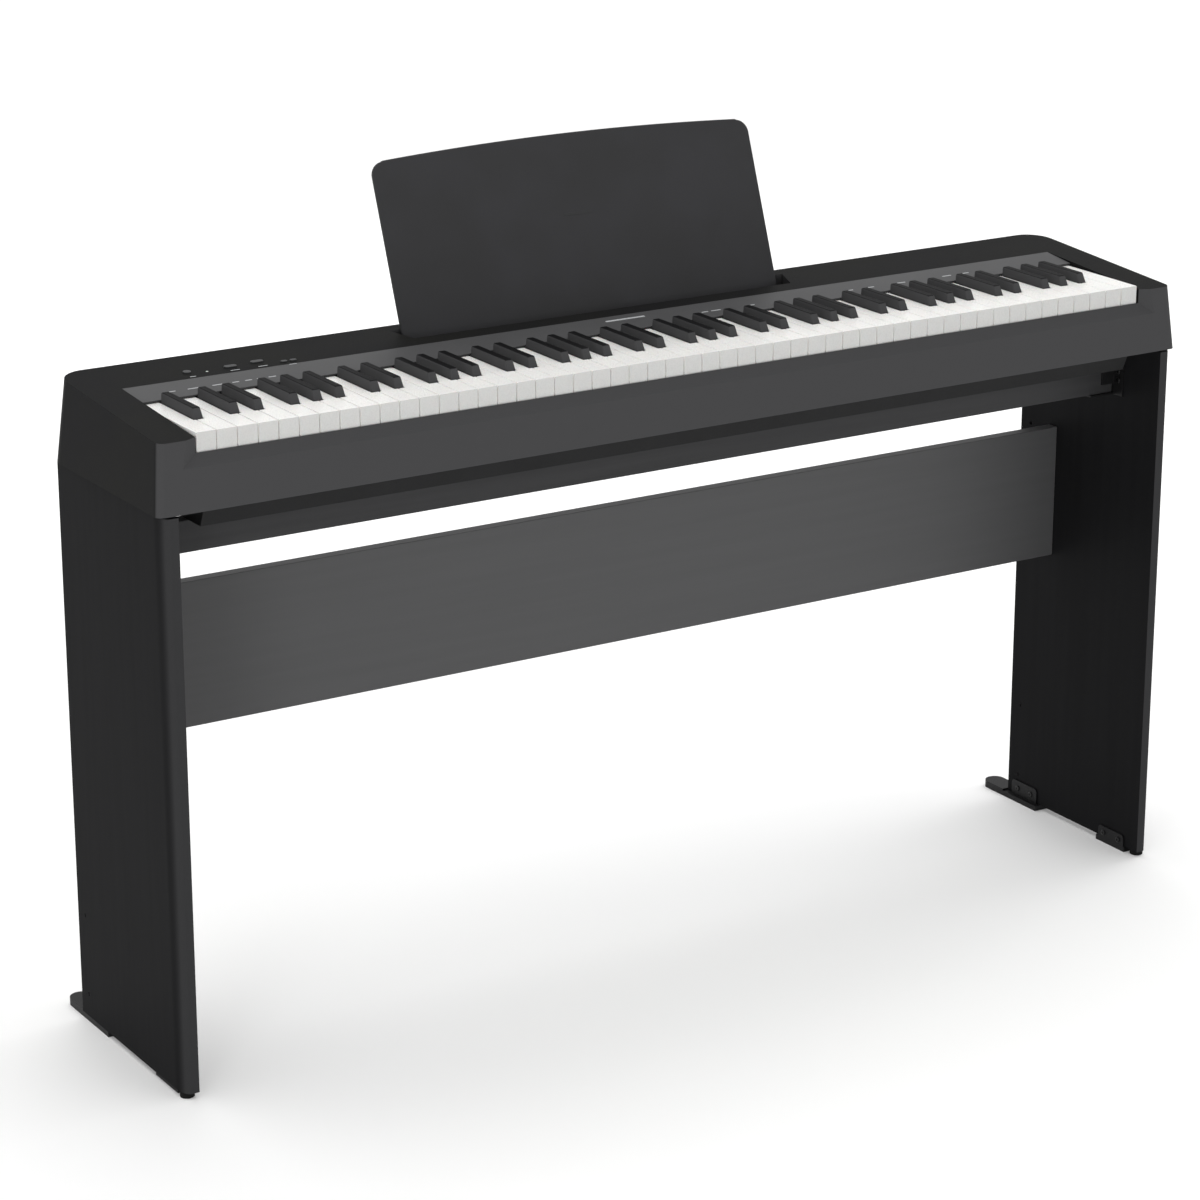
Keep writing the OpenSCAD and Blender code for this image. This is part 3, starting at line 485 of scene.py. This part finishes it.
# Pads of a node: the ellipse in each solid's box, or the box itself with round corners, carried up its
# height with rounded rims
def makePads(node, name, finish, rim, isRound):
    stacks = []
    for low, high in solidsOf(node):
        mid, half = (low + high) / 2, (high - low) / 2
        if isRound:
            outline = ellipse(half[0], half[1], 40, mid[0], mid[1])
        else:
            outline = roundedOutline([(low[0], low[1]), (high[0], low[1]), (high[0], high[1]),
                                      (low[0], high[1])], standLook["padCorner"] * mm, 4)
        stacks.append(placed(ringsFrom(outline, plateProfile(low[2], high[2], rim * mm)), (0, 0, 0)))
    return evenShading(meshFromRings(name, stacks, finish))


handOver(makePads("foot_glides", "footGlides", finishes["rubber"], standLook["glideRim"], True),
         "foot_glides")
handOver(makePads("case_pads", "casePads", finishes["rubber"], standLook["padRim"], False),
         "case_pads")
print("stand made")


caseLook = dict(
    outerRounding=1.3, outerSteps=3,
    rimTurn=15, rimsAbove=45, rimShortest=1.5,      # which edges get a rim: degrees, height, length
    trayRounding=1.0,
    topSlope=4.033,                                 # degrees that the top rises towards the rear
)
topSlope = math.radians(caseLook["topSlope"])


# Weight 1 for the edges of the case that get a rounded rim: those above the front panel's foot whose turn,
# arccos(n0 . n1), is over the limit and which are convex, so that (n0 x n1) . edge is positive
def caseRims(mesh):
    ends = readAll(mesh.edges, "vertices", 2, int)
    places = readAll(mesh.vertices, "co", 3)[ends]
    normals = readAll(mesh.polygons, "normal", 3)
    faceOf = np.repeat(np.arange(len(mesh.polygons)), readAll(mesh.polygons, "loop_total", 1, int))
    edgeOf = readAll(mesh.loops, "edge_index", 1, int)
    order = np.argsort(edgeOf, kind="stable")
    first = np.searchsorted(edgeOf[order], np.arange(len(ends)))
    second = np.minimum(first + 1, len(order) - 1)
    n0, n1 = normals[faceOf[order[first]]], normals[faceOf[order[second]]]
    along = places[:, 1] - places[:, 0]
    along[readAll(mesh.loops, "vertex_index", 1, int)[order[first]] != ends[:, 0]] *= -1
    turn = np.arccos(np.clip((n0 * n1).sum(1), -1, 1))
    convex = (np.cross(n0, n1) * along).sum(1) > 0
    low = cornersOf("top_case")[0][2] + caseLook["rimsAbove"] * mm
    chosen = (turn > math.radians(caseLook["rimTurn"])) & convex & (places[:, :, 2].min(1) > low)
    chosen &= np.linalg.norm(along, axis=1) > caseLook["rimShortest"] * mm
    return chosen & (np.bincount(edgeOf, minlength=len(ends)) == 2)


topCase = softened("top_case", "topCase", finishes["case"], caseLook["outerRounding"],
                   caseLook["outerSteps"], caseLook["rimTurn"], caseRims)
handOver(topCase, "top_case")
bottomCase = softened("bottom_case", "bottomCase", finishes["tray"], caseLook["trayRounding"], angle=40)
handOver(bottomCase, "bottom_case")

# Control strip: its section in depth and height carried along X, with rounded rims at the ends
stripLook = dict(frontFoot=723.3, frontTop=725.2, rearThick=2.9, corner=0.5, frontCorner=0.6, rim=0.35)
stripLow, stripHigh = cornersOf("control_strip")
stripFront = stripLook["frontTop"] * mm
stripSection = [(stripLow[1], stripLook["frontFoot"] * mm),
                (stripHigh[1], stripHigh[2] - stripLook["rearThick"] * mm),
                (stripHigh[1], stripHigh[2]), (stripLow[1], stripFront)]
stripRadii = [stripLook["corner"] * mm] * 3 + [stripLook["frontCorner"] * mm]
stripOutline = roundedOutline(stripSection, stripRadii, 3)
stripRings = ringsFrom(stripOutline, plateProfile(stripLow[0], stripHigh[0], stripLook["rim"] * mm))
strip = evenShading(meshFromRings("controlStrip", [placed(stripRings, (0, 0, 0), (0, 1, 0), (0, 0, 1))],
                                  finishes["strip"]))
handOver(strip, "control_strip")
print("case made")


# Each mark is [place along the piano, depth, length, width] in mm; plain bars stand for the lettering
markLook = dict(
    rise=0.14, sunk=0.1, rim=0.05, corner=0.7,      # corner in half widths
    onStrip=[[-571, 157, 14, 2.0], [-543, 157, 14, 2.0], [-513, 157, 17, 2.0], [-494, 157, 8, 2.0],
             [-479, 157, 8, 2.0], [-467, 157, 4, 2.0], [-451, 157, 9, 2.0], [0, 171, 52, 3.6],
             [98, 157, 9, 2.0], [113, 157, 13, 2.0], [160, 157, 12, 2.0], [298, 157, 13, 2.0],
             [330, 157, 9, 2.0], [372, 157, 15, 2.0], [440, 157, 13, 2.0], [468, 157, 9, 2.0]],
    onTop=[[-528, 189, 7, 1.6], [-478, 190, 11, 1.4], [-445, 190, 11, 1.4], [-413, 182.5, 9, 1.4]],
)
stripSlope = math.atan2(stripHigh[2] - stripFront, stripHigh[1] - stripLow[1])


# Height of the case's top at a depth: the strip's rear upper edge plus the way from it times tan(slope)
def topHeight(depth):
    return stripHigh[2] + (depth * mm + frontY - stripHigh[1]) * math.tan(topSlope)


# Height of the strip's upper face at a depth: its front upper edge plus the way from it times tan(slope)
def stripHeight(depth):
    return stripFront + (depth * mm + frontY - stripLow[1]) * math.tan(stripSlope)


# Rounded bars lying on a slope: a stadium outline with a low rounded rim
def makeBars(name, bars, heightAt, slope, finish):
    stacks = []
    for x, d, length, width in bars:
        a, b = length / 2 * mm, width / 2 * mm
        outline = roundedOutline([(-a, -b), (a, -b), (a, b), (-a, b)], b * markLook["corner"], 3)
        rings = ringsFrom(outline, plateProfile(-markLook["sunk"] * mm, markLook["rise"] * mm,
                                                markLook["rim"] * mm, 1, 0.0))
        stacks.append(placed(rings, (x * mm, frontY + d * mm, heightAt(d)), (1, 0, 0),
                             (0, math.cos(slope), math.sin(slope))))
    return meshFromRings(name, stacks, finish)


stripMarks = makeBars("stripMarks", markLook["onStrip"], stripHeight, stripSlope, finishes["ink"])
handOver(stripMarks, [], cadBody["control_strip"])
print("marks made")


restLook = dict(
    width=500, high=197.5, arch=8, thick=5, rim=1.6, lean=20.2,
    foot=12.75, heel=6,                  # how far it goes into the trough, and its lower corners
    corner=16, cornerTurn=80,            # its upper corners, and the degrees each one turns
    depth=236, height=733,
    mark=[36, 3.2, 105],                 # length, width and place up the rest
    markRise=0.15, markSunk=0.1, markRim=0.08, markCorner=0.8,
)
lean = math.radians(restLook["lean"])
restUp = (0, math.sin(lean), math.cos(lean))
restOrigin = (0, frontY + restLook["depth"] * mm, restLook["height"] * mm)


# Outline of the rest: straight foot and sides, round upper corners, and an upper edge that is an arc of
# radius (half width squared + arch squared) / (2 * arch)
def restOutline():
    half, top, arch = restLook["width"] / 2 * mm, restLook["high"] * mm, restLook["arch"] * mm
    corner = restLook["corner"] * mm
    radius = (half * half + arch * arch) / (2 * arch)
    sweep = math.asin((half - corner) / radius)
    a = np.linspace(sweep, -sweep, 41)
    crown = np.stack([radius * np.sin(a), top - radius + radius * np.cos(a)], 1)
    side = top - arch - corner
    t = np.linspace(0, math.radians(restLook["cornerTurn"]), 9)
    right = np.stack([half - corner + corner * np.cos(t), side + corner * np.sin(t)], 1)
    heel = restLook["heel"] * mm
    s = np.linspace(-math.pi / 2, 0, 7)
    lower = np.stack([half - heel + heel * np.cos(s), heel - restLook["foot"] * mm + heel * np.sin(s)], 1)
    rightSide = np.concatenate([lower, right])
    return np.concatenate([rightSide, crown, rightSide[::-1] * [-1, 1]])


restRings = ringsFrom(restOutline(), plateProfile(-restLook["thick"] * mm, 0, restLook["rim"] * mm, 4))
musicRest = evenShading(meshFromRings("musicRest", [placed(restRings, restOrigin, (1, 0, 0), restUp)],
                                      finishes["rest"]))
handOver(musicRest, "music_rest")

# A plain short bar stands for the mark in the middle of the rest
a, b, up = [x * mm / 2 for x in restLook["mark"][:2]] + [restLook["mark"][2] * mm]
barOutline = roundedOutline([(-a, up - b), (a, up - b), (a, up + b), (-a, up + b)],
                            b * restLook["markCorner"], 4)
barRings = ringsFrom(barOutline, plateProfile(-restLook["markSunk"] * mm, restLook["markRise"] * mm,
                                              restLook["markRim"] * mm, 1, 0.0))
restBar = meshFromRings("restBar", [placed(barRings, restOrigin, (1, 0, 0), restUp)], finishes["dimInk"])
handOver(restBar, [], cadBody["music_rest"])
print("music rest made")


buttonLook = dict(
    power=[-528, 204, 9, 9], function=[-478, 202, 15, 7], voice=[-445, 205, 15, 7],
    minus=[-418.5, 193, 8, 5], plus=[-407.5, 193, 8, 5],
    rise=1.4, rim=0.55, crown=0.18, crownAt=(0.3, 0.6, 0.85), roundness=0.995,
    wall=3.2, flange=1.2, flangeReach=1.0, flangeBevel=0.3, flangeRim=0.2,
    stem=1.5, stemLong=2.0, stemBevel=0.3,
)


# Button as stacked rings: flange, cap wall, rounded rim, and a crown whose height at the share s of the way
# to the middle is crown * (1 - (1 - s) squared)
def buttonRings(length, width):
    k = buttonLook
    a, b = length / 2, width / 2
    outline = roundedOutline([(-a, -b), (a, -b), (a, b), (-a, b)], b * k["roundness"], 8) * mm
    flangeTop = -k["wall"]
    flangeLow = flangeTop - k["flange"]
    cap = plateProfile(flangeTop + 0.02, k["rise"], k["rim"], 4, 0.0)[:-1]
    inner = b - k["rim"]
    inward = [(k["rim"] + inner * s, k["rise"] + k["crown"] * (1 - (1 - s) ** 2)) for s in k["crownAt"]]
    reach, bevel, rim = k["flangeReach"], k["flangeBevel"], k["flangeRim"]
    profile = [(bevel - reach, flangeLow), (-reach, flangeLow + bevel), (-reach, flangeTop - rim),
               (rim - reach, flangeTop), (0.0, flangeTop)] + cap[1:] + inward
    return ringsFrom(outline, [(x * mm, z * mm) for x, z in profile])


# Stem under a button: a round bar from the flange down, with a small bevel at its end
def stemRings():
    k = buttonLook
    low, bevel = -k["wall"] - k["flange"] - k["stemLong"], k["stemBevel"]
    return ringsFrom(ellipse(k["stem"] * mm, k["stem"] * mm, 20),
                     [(bevel * mm, low * mm), (0.0, (low + bevel) * mm),
                      (0.0, (low + k["stemLong"] + bevel) * mm)])


for word in ("power", "function", "voice", "minus", "plus"):
    x, d, length, width = buttonLook[word]
    origin = (x * mm, frontY + d * mm, topHeight(d))
    slope = (0, math.cos(topSlope), math.sin(topSlope))
    stacks = [placed(r, origin, (1, 0, 0), slope) for r in (buttonRings(length, width), stemRings())]
    button = evenShading(meshFromRings(word + "Button", stacks, finishes["button"], 50))
    handOver(button, word + "_button")

# Lamp: a short round lens with a wider foot and a domed end; each pair is [way in, height]
lampLook = dict(
    at=[-507, 198.5], radius=1.4,
    foot=[[-1.0, -5.2], [-1.0, -4.0], [0, -4.0]],
    dome=[[0, 0], [0.1, 0.08], [0.4, 0.15], [0.9, 0.2], [1.3, 0.2]],
)
lampRings = ringsFrom(ellipse(lampLook["radius"] * mm, lampLook["radius"] * mm, 28),
                      np.array(lampLook["foot"] + lampLook["dome"]) * mm)
lampAt = (lampLook["at"][0] * mm, frontY + lampLook["at"][1] * mm, topHeight(lampLook["at"][1]))
lampStack = placed(lampRings, lampAt, (1, 0, 0), (0, math.cos(topSlope), math.sin(topSlope)))
powerLamp = evenShading(meshFromRings("powerLamp", [lampStack], finishes["lens"], 50))
handOver(powerLamp, "power_lamp")
topMarks = makeBars("topMarks", markLook["onTop"], topHeight, topSlope, finishes["ink"])
handOver(topMarks, [], cadBody["top_case"])
print("buttons made")


keyLook = dict(
    count=52, pitch=23.5, gap=0.9, front=13.8, rear=143.0, notch=59.6, top=722.4, under=710.0, skirt=700.0,
    skirtThick=3.2, skirtBevel=0.3, rim=0.75, corner=1.0, innerCorner=0.5,
    tailTop=718.0, tailEnd=252.0, tailRear=709.5, tailUnder=698.0,      # heights and depth of the tail
    bendStart=150, bendEnd=186, stepHigh=180, stepLow=182,              # depths where the tail goes down
    tailPlay=0.05, tailLap=3, tailCorner=0.4, tailRim=0.3,
    blackWidth=10.6, blackCrown=9.2, blackGap=1.0,
    blackFront=61.2, blackSlant=5.3, blackRear=138.9, blackTop=733.2, blackRim=1.3, blackFoot=711.0,
    blackShoulder=0.6, blackCorner=1.1, blackCornerGain=0.5, blackRearCorner=0.5,
    blackRimFront=0.9, blackRimRear=0.5,      # share of the rim's draw at the front and the rear
)
slotWide = keyLook["blackWidth"] + 2 * keyLook["blackGap"]
tailCe = (3 * keyLook["pitch"] - 2 * slotWide) / 3   # equal tails from C to E
tailFb = (4 * keyLook["pitch"] - 3 * slotWide) / 4   # and from F to B
sharpShift = {0: tailCe + slotWide / 2 - keyLook["pitch"], 1: keyLook["pitch"] - tailCe - slotWide / 2,
              3: tailFb + slotWide / 2 - keyLook["pitch"], 4: 0.0,
              5: keyLook["pitch"] - tailFb - slotWide / 2}


# Letter of white key i, counted from C: the lowest key is an A, so 5 is added and sevens are dropped
def letterOf(i):
    return (i + 5) % 7


# Place of white key i along the piano: its distance in keys from the middle times the pitch
def whiteX(i):
    return (i - (keyLook["count"] - 1) / 2) * keyLook["pitch"]


# Whether a black key follows white key i: after every letter but E and B, and not after the last key
def hasSharp(i):
    return 0 <= i < keyLook["count"] - 1 and letterOf(i) in sharpShift


# Place of the black key after white key i: half a pitch on, moved by its letter's shift
def blackX(i):
    return whiteX(i) + keyLook["pitch"] / 2 + sharpShift[letterOf(i)]


# Section of a key's tail in depth and height, carried across its width
def tailRings(x, half, frontD):
    k = keyLook
    section = [(frontD, k["under"]), (k["bendStart"], k["under"]), (k["bendEnd"], k["tailUnder"]),
               (k["tailEnd"], k["tailUnder"]), (k["tailEnd"], k["tailRear"]), (k["stepLow"], k["tailRear"]),
               (k["stepHigh"], k["tailTop"]), (frontD, k["tailTop"])]
    outline = roundedOutline(section, k["tailCorner"], 2) * mm + [frontY, 0]
    rings = ringsFrom(outline, plateProfile((x - half) * mm, (x + half) * mm, k["tailRim"] * mm, 1))
    return placed(rings, (0, 0, 0), (0, 1, 0), (0, 0, 1))


# White key as stacked rings: its plan with rounded corners and with notches for the black keys, carried
# up from the skirt; below the key's underside the plan is cut back to the thin skirt at the front, and
# the upper rim is a quarter circle
def whiteKeyRings(i):
    k = keyLook
    x, half = whiteX(i), (k["pitch"] - k["gap"]) / 2
    left, right = x - half, x + half
    corners = [(left, k["front"]), (right, k["front"])]
    radii = [k["corner"], k["corner"]]
    tailRight, tailLeft = right, left
    if hasSharp(i):
        tailRight = blackX(i) - slotWide / 2
        corners += [(right, k["notch"]), (tailRight, k["notch"])]
        radii += [k["corner"], k["innerCorner"]]
    if hasSharp(i - 1):
        tailLeft = blackX(i - 1) + slotWide / 2
    corners += [(tailRight, k["rear"]), (tailLeft, k["rear"])]
    radii += [k["corner"], k["corner"]]
    if hasSharp(i - 1):
        corners += [(tailLeft, k["notch"]), (left, k["notch"])]
        radii += [k["innerCorner"], k["corner"]]
    outline = roundedOutline(corners, radii, 4) * mm
    rim, bevel = k["rim"], k["skirtBevel"]
    a = np.linspace(0, np.pi / 2, 5)
    profile = [(bevel, k["skirt"]), (0.0, k["skirt"] + bevel), (0.0, k["under"]), (0.0, k["under"])]
    profile += [(rim * (1 - math.cos(t)), k["top"] - rim * (1 - math.sin(t))) for t in a]
    profile += [(rim * 1.25, k["top"])]
    rings = ringsFrom(outline, [(s * mm, z * mm) for s, z in profile])
    rings[:3, :, 1] = np.minimum(rings[:3, :, 1], (k["front"] + k["skirtThick"]) * mm)
    tail = tailRings((tailLeft + tailRight) / 2, (tailRight - tailLeft) / 2 - k["tailPlay"],
                     k["rear"] - k["tailLap"])
    return [placed(rings, (0, frontY, 0)), tail]


# Black key as stacked rings of a rounded rectangle: the sides lean in and the front leans back with
# height, and the upper rim is a quarter circle
def blackKeyRings(i):
    k = keyLook
    x, rim = blackX(i), k["blackRim"]
    shoulder = k["top"] + k["blackShoulder"]
    levels = [k["blackFoot"], k["top"], shoulder, (shoulder + k["blackTop"]) / 2, k["blackTop"] - rim]
    a = np.linspace(0, np.pi / 2, 5)[1:]
    heights = levels + [k["blackTop"] - rim * (1 - math.sin(t)) for t in a] + [k["blackTop"]]
    draws = [0.0] * len(levels) + [rim * (1 - math.cos(t)) for t in a] + [rim * 1.25]
    stack = []
    for z, draw in zip(heights, draws):
        up = min(max((z - shoulder) / (k["blackTop"] - shoulder), 0), 1)
        half = k["blackWidth"] / 2 + (k["blackCrown"] - k["blackWidth"]) / 2 * up - draw
        slant = max(z - k["top"], 0) / (k["blackTop"] - k["top"]) * k["blackSlant"]
        front = k["blackFront"] + slant + draw * k["blackRimFront"]
        rear = k["blackRear"] - draw * k["blackRimRear"]
        radius = k["blackCorner"] + k["blackCornerGain"] * up
        outline = roundedOutline([(x - half, front), (x + half, front), (x + half, rear), (x - half, rear)],
                                 [radius, radius, k["blackRearCorner"], k["blackRearCorner"]], 4)
        stack.append(np.concatenate([outline, np.full((len(outline), 1), z)], 1))
    rings = np.stack(stack) * mm
    tail = tailRings(x, k["blackWidth"] / 2 - k["tailPlay"], k["blackRear"] - k["tailLap"])
    return [placed(rings, (0, frontY, 0)), tail]


# Keys of one node in one mesh: the rings of each index, white or black, stacked one key after another
def makeKeys(name, node, indices, white):
    stacks = []
    for i in indices:
        stacks += whiteKeyRings(i) if white else blackKeyRings(i)
    key = meshFromRings(name, stacks, finishes["ivory" if white else "ebony"], 50)
    evenShading(key)
    return handOver(key, node)


middleC = 23                                        # index of the white key C4
letters = "cdefgab"
for step in range(7):
    i = middleC + step
    letter = letters[letterOf(i)]
    makeKeys("key." + letter + "4", "key_" + letter + "4", [i], True)
    if hasSharp(i):
        makeKeys("key." + letter + "Sharp4", "key_" + letter + "_sharp_4", [i], False)
for part, first, last in (("low", 0, 15), ("octave_3", 16, 22), ("octave_5", 30, 36), ("high", 37, 51)):
    span = range(first, last + 1)
    makeKeys("whiteKeys." + part, "white_keys_" + part, span, True)
    makeKeys("blackKeys." + part, "black_keys_" + part, [i for i in span if hasSharp(i)], False)
print("keys made")


workLook = dict(
    key_frame=("keyFrame", "zinc", "frame_steel", 0.3),
    usb_port=("usbPort", "nickel", "port_steel", 0.3),
    dc_jack=("dcJack", "socket", "jack_plastic", 0.4),
    pedal_jack=("pedalJack", "socket", "jack_plastic", 0.4),
    phones_jack=("phonesJack", "socket", "jack_plastic", 0.4),
)
for node, (name, finish, slot, width) in workLook.items():
    handOver(softened(node, name, finishes[finish], width, angle=40), node)
for node, finish in (("pivot_rod", "rod"), ("key_felt", "felt"), ("speaker_left", "cone"),
                     ("speaker_right", "cone"), ("main_board", "circuit"), ("panel_board", "circuit")):
    kept = frame["nodes"][node]
    kept.data.materials.clear()
    kept.data.materials.append(finishes[finish])
print("inner works finished")


# Places and sizes in metres, turns in degrees, lens and sensor in mm
studio = dict(
    floorSize=30.0, floorCells=12, floorShade="f3f3f3", floorPatch="f5f5f4", floorGlow=0.10,
    worldLow=0.92, worldHigh=0.45,      # strength at the horizon and high up
    worldFrom=0.02, worldTo=0.45,       # heights of the sky between which it changes
    sun=dict(strength=1.85, spread=85, tilt=(-14, 6, 0)),
    front=dict(at=(2.3, -3.6, 1.2), aim=(0.4, 0, 0.5), size=(2.6, 1.6), watts=12),
    left=dict(at=(-3.1, -2.7, 0.9), aim=(-0.5, 0, 0.45), size=(0.9, 1.6), watts=28),
    back=dict(at=(0.8, 3.8, 1.5), aim=(0, 0, 0.5), size=(3.0, 1.6), watts=24),
    right=dict(at=(3.6, 0.4, 1.3), aim=(0.66, 0, 0.5), size=(1.6, 1.6), watts=26),
    cameraAt=(-2.1675, -3.4001, 1.7125), heading=31.99, down=18.01, lens=110.95,
    sensor=36, farthest=100,
)
scene = bpy.context.scene

# Floor: a flat grid of quads, far wider than the view
cells = studio["floorCells"]
edge = np.linspace(-studio["floorSize"] / 2, studio["floorSize"] / 2, cells + 1)
gx, gy = np.meshgrid(edge, edge)
floorPoints = np.stack([gx, gy, np.zeros_like(gx)], 2).reshape(-1, 3)
cell = (np.arange(cells)[:, None] * (cells + 1) + np.arange(cells)[None]).reshape(-1, 1)
floorMesh = bpy.data.meshes.new("floor")
floorMesh.from_pydata(floorPoints, [], (cell + np.array([[0, 1, cells + 2, cells + 1]])).tolist())
floor = bpy.data.objects.new("floor", floorMesh)
scene.collection.objects.link(floor)
finishLook["floor"] = dict(shade=studio["floorShade"], second=studio["floorPatch"], patch=0.8,
                           rough=(0.75, 0.9), grain=("noise", 60, 0.05, 0.0002), specular=0.05,
                           glow=studio["floorGlow"])
floorMesh.materials.append(makeFinish("floor"))

# World: light that falls off from the horizon upwards
world = bpy.data.worlds.new("studio")
scene.world = world
world.use_nodes = True
tree = world.node_tree
sky = tree.nodes["Background"]
direction = tree.nodes.new("ShaderNodeTexCoord")
parts = tree.nodes.new("ShaderNodeSeparateXYZ")
tree.links.new(direction.outputs["Generated"], parts.inputs[0])
fall = mapRange(tree, parts.outputs["Z"], studio["worldFrom"], studio["worldTo"],
                studio["worldLow"], studio["worldHigh"])
fall.interpolation_type = "SMOOTHSTEP"
tree.links.new(fall.outputs["Result"], sky.inputs["Strength"])
sky.inputs["Color"].default_value = (1, 1, 1, 1)

overhead = bpy.data.lights.new("overheadLight", "SUN")      # a wide, soft light from above
overhead.energy = studio["sun"]["strength"]
overhead.angle = math.radians(studio["sun"]["spread"])
overheadLight = bpy.data.objects.new("overheadLight", overhead)
overheadLight.rotation_euler = [math.radians(x) for x in studio["sun"]["tilt"]]
scene.collection.objects.link(overheadLight)
for name in ("front", "left", "back", "right"):
    settings = studio[name]
    area = bpy.data.lights.new(name + "Light", "AREA")
    area.shape = "RECTANGLE"
    area.size, area.size_y = settings["size"]
    area.energy = settings["watts"]
    light = bpy.data.objects.new(name + "Light", area)
    light.location = settings["at"]
    aim = Vector(settings["aim"]) - light.location
    light.rotation_euler = aim.to_track_quat("-Z", "Y").to_euler()
    light.visible_glossy = name in ("front", "left")     # no glare from behind along the top
    light.visible_camera = False
    scene.collection.objects.link(light)

camera = bpy.data.objects.new("camera", bpy.data.cameras.new("camera"))
camera.location = studio["cameraAt"]
camera.rotation_euler = (math.radians(90 - studio["down"]), 0, -math.radians(studio["heading"]))
camera.data.lens = studio["lens"]
camera.data.sensor_width = studio["sensor"]
camera.data.clip_end = studio["farthest"]
scene.collection.objects.link(camera)
bpy.context.scene.camera = camera
scene.view_settings.view_transform = "Standard"
scene.view_settings.look = "None"
print("studio made")
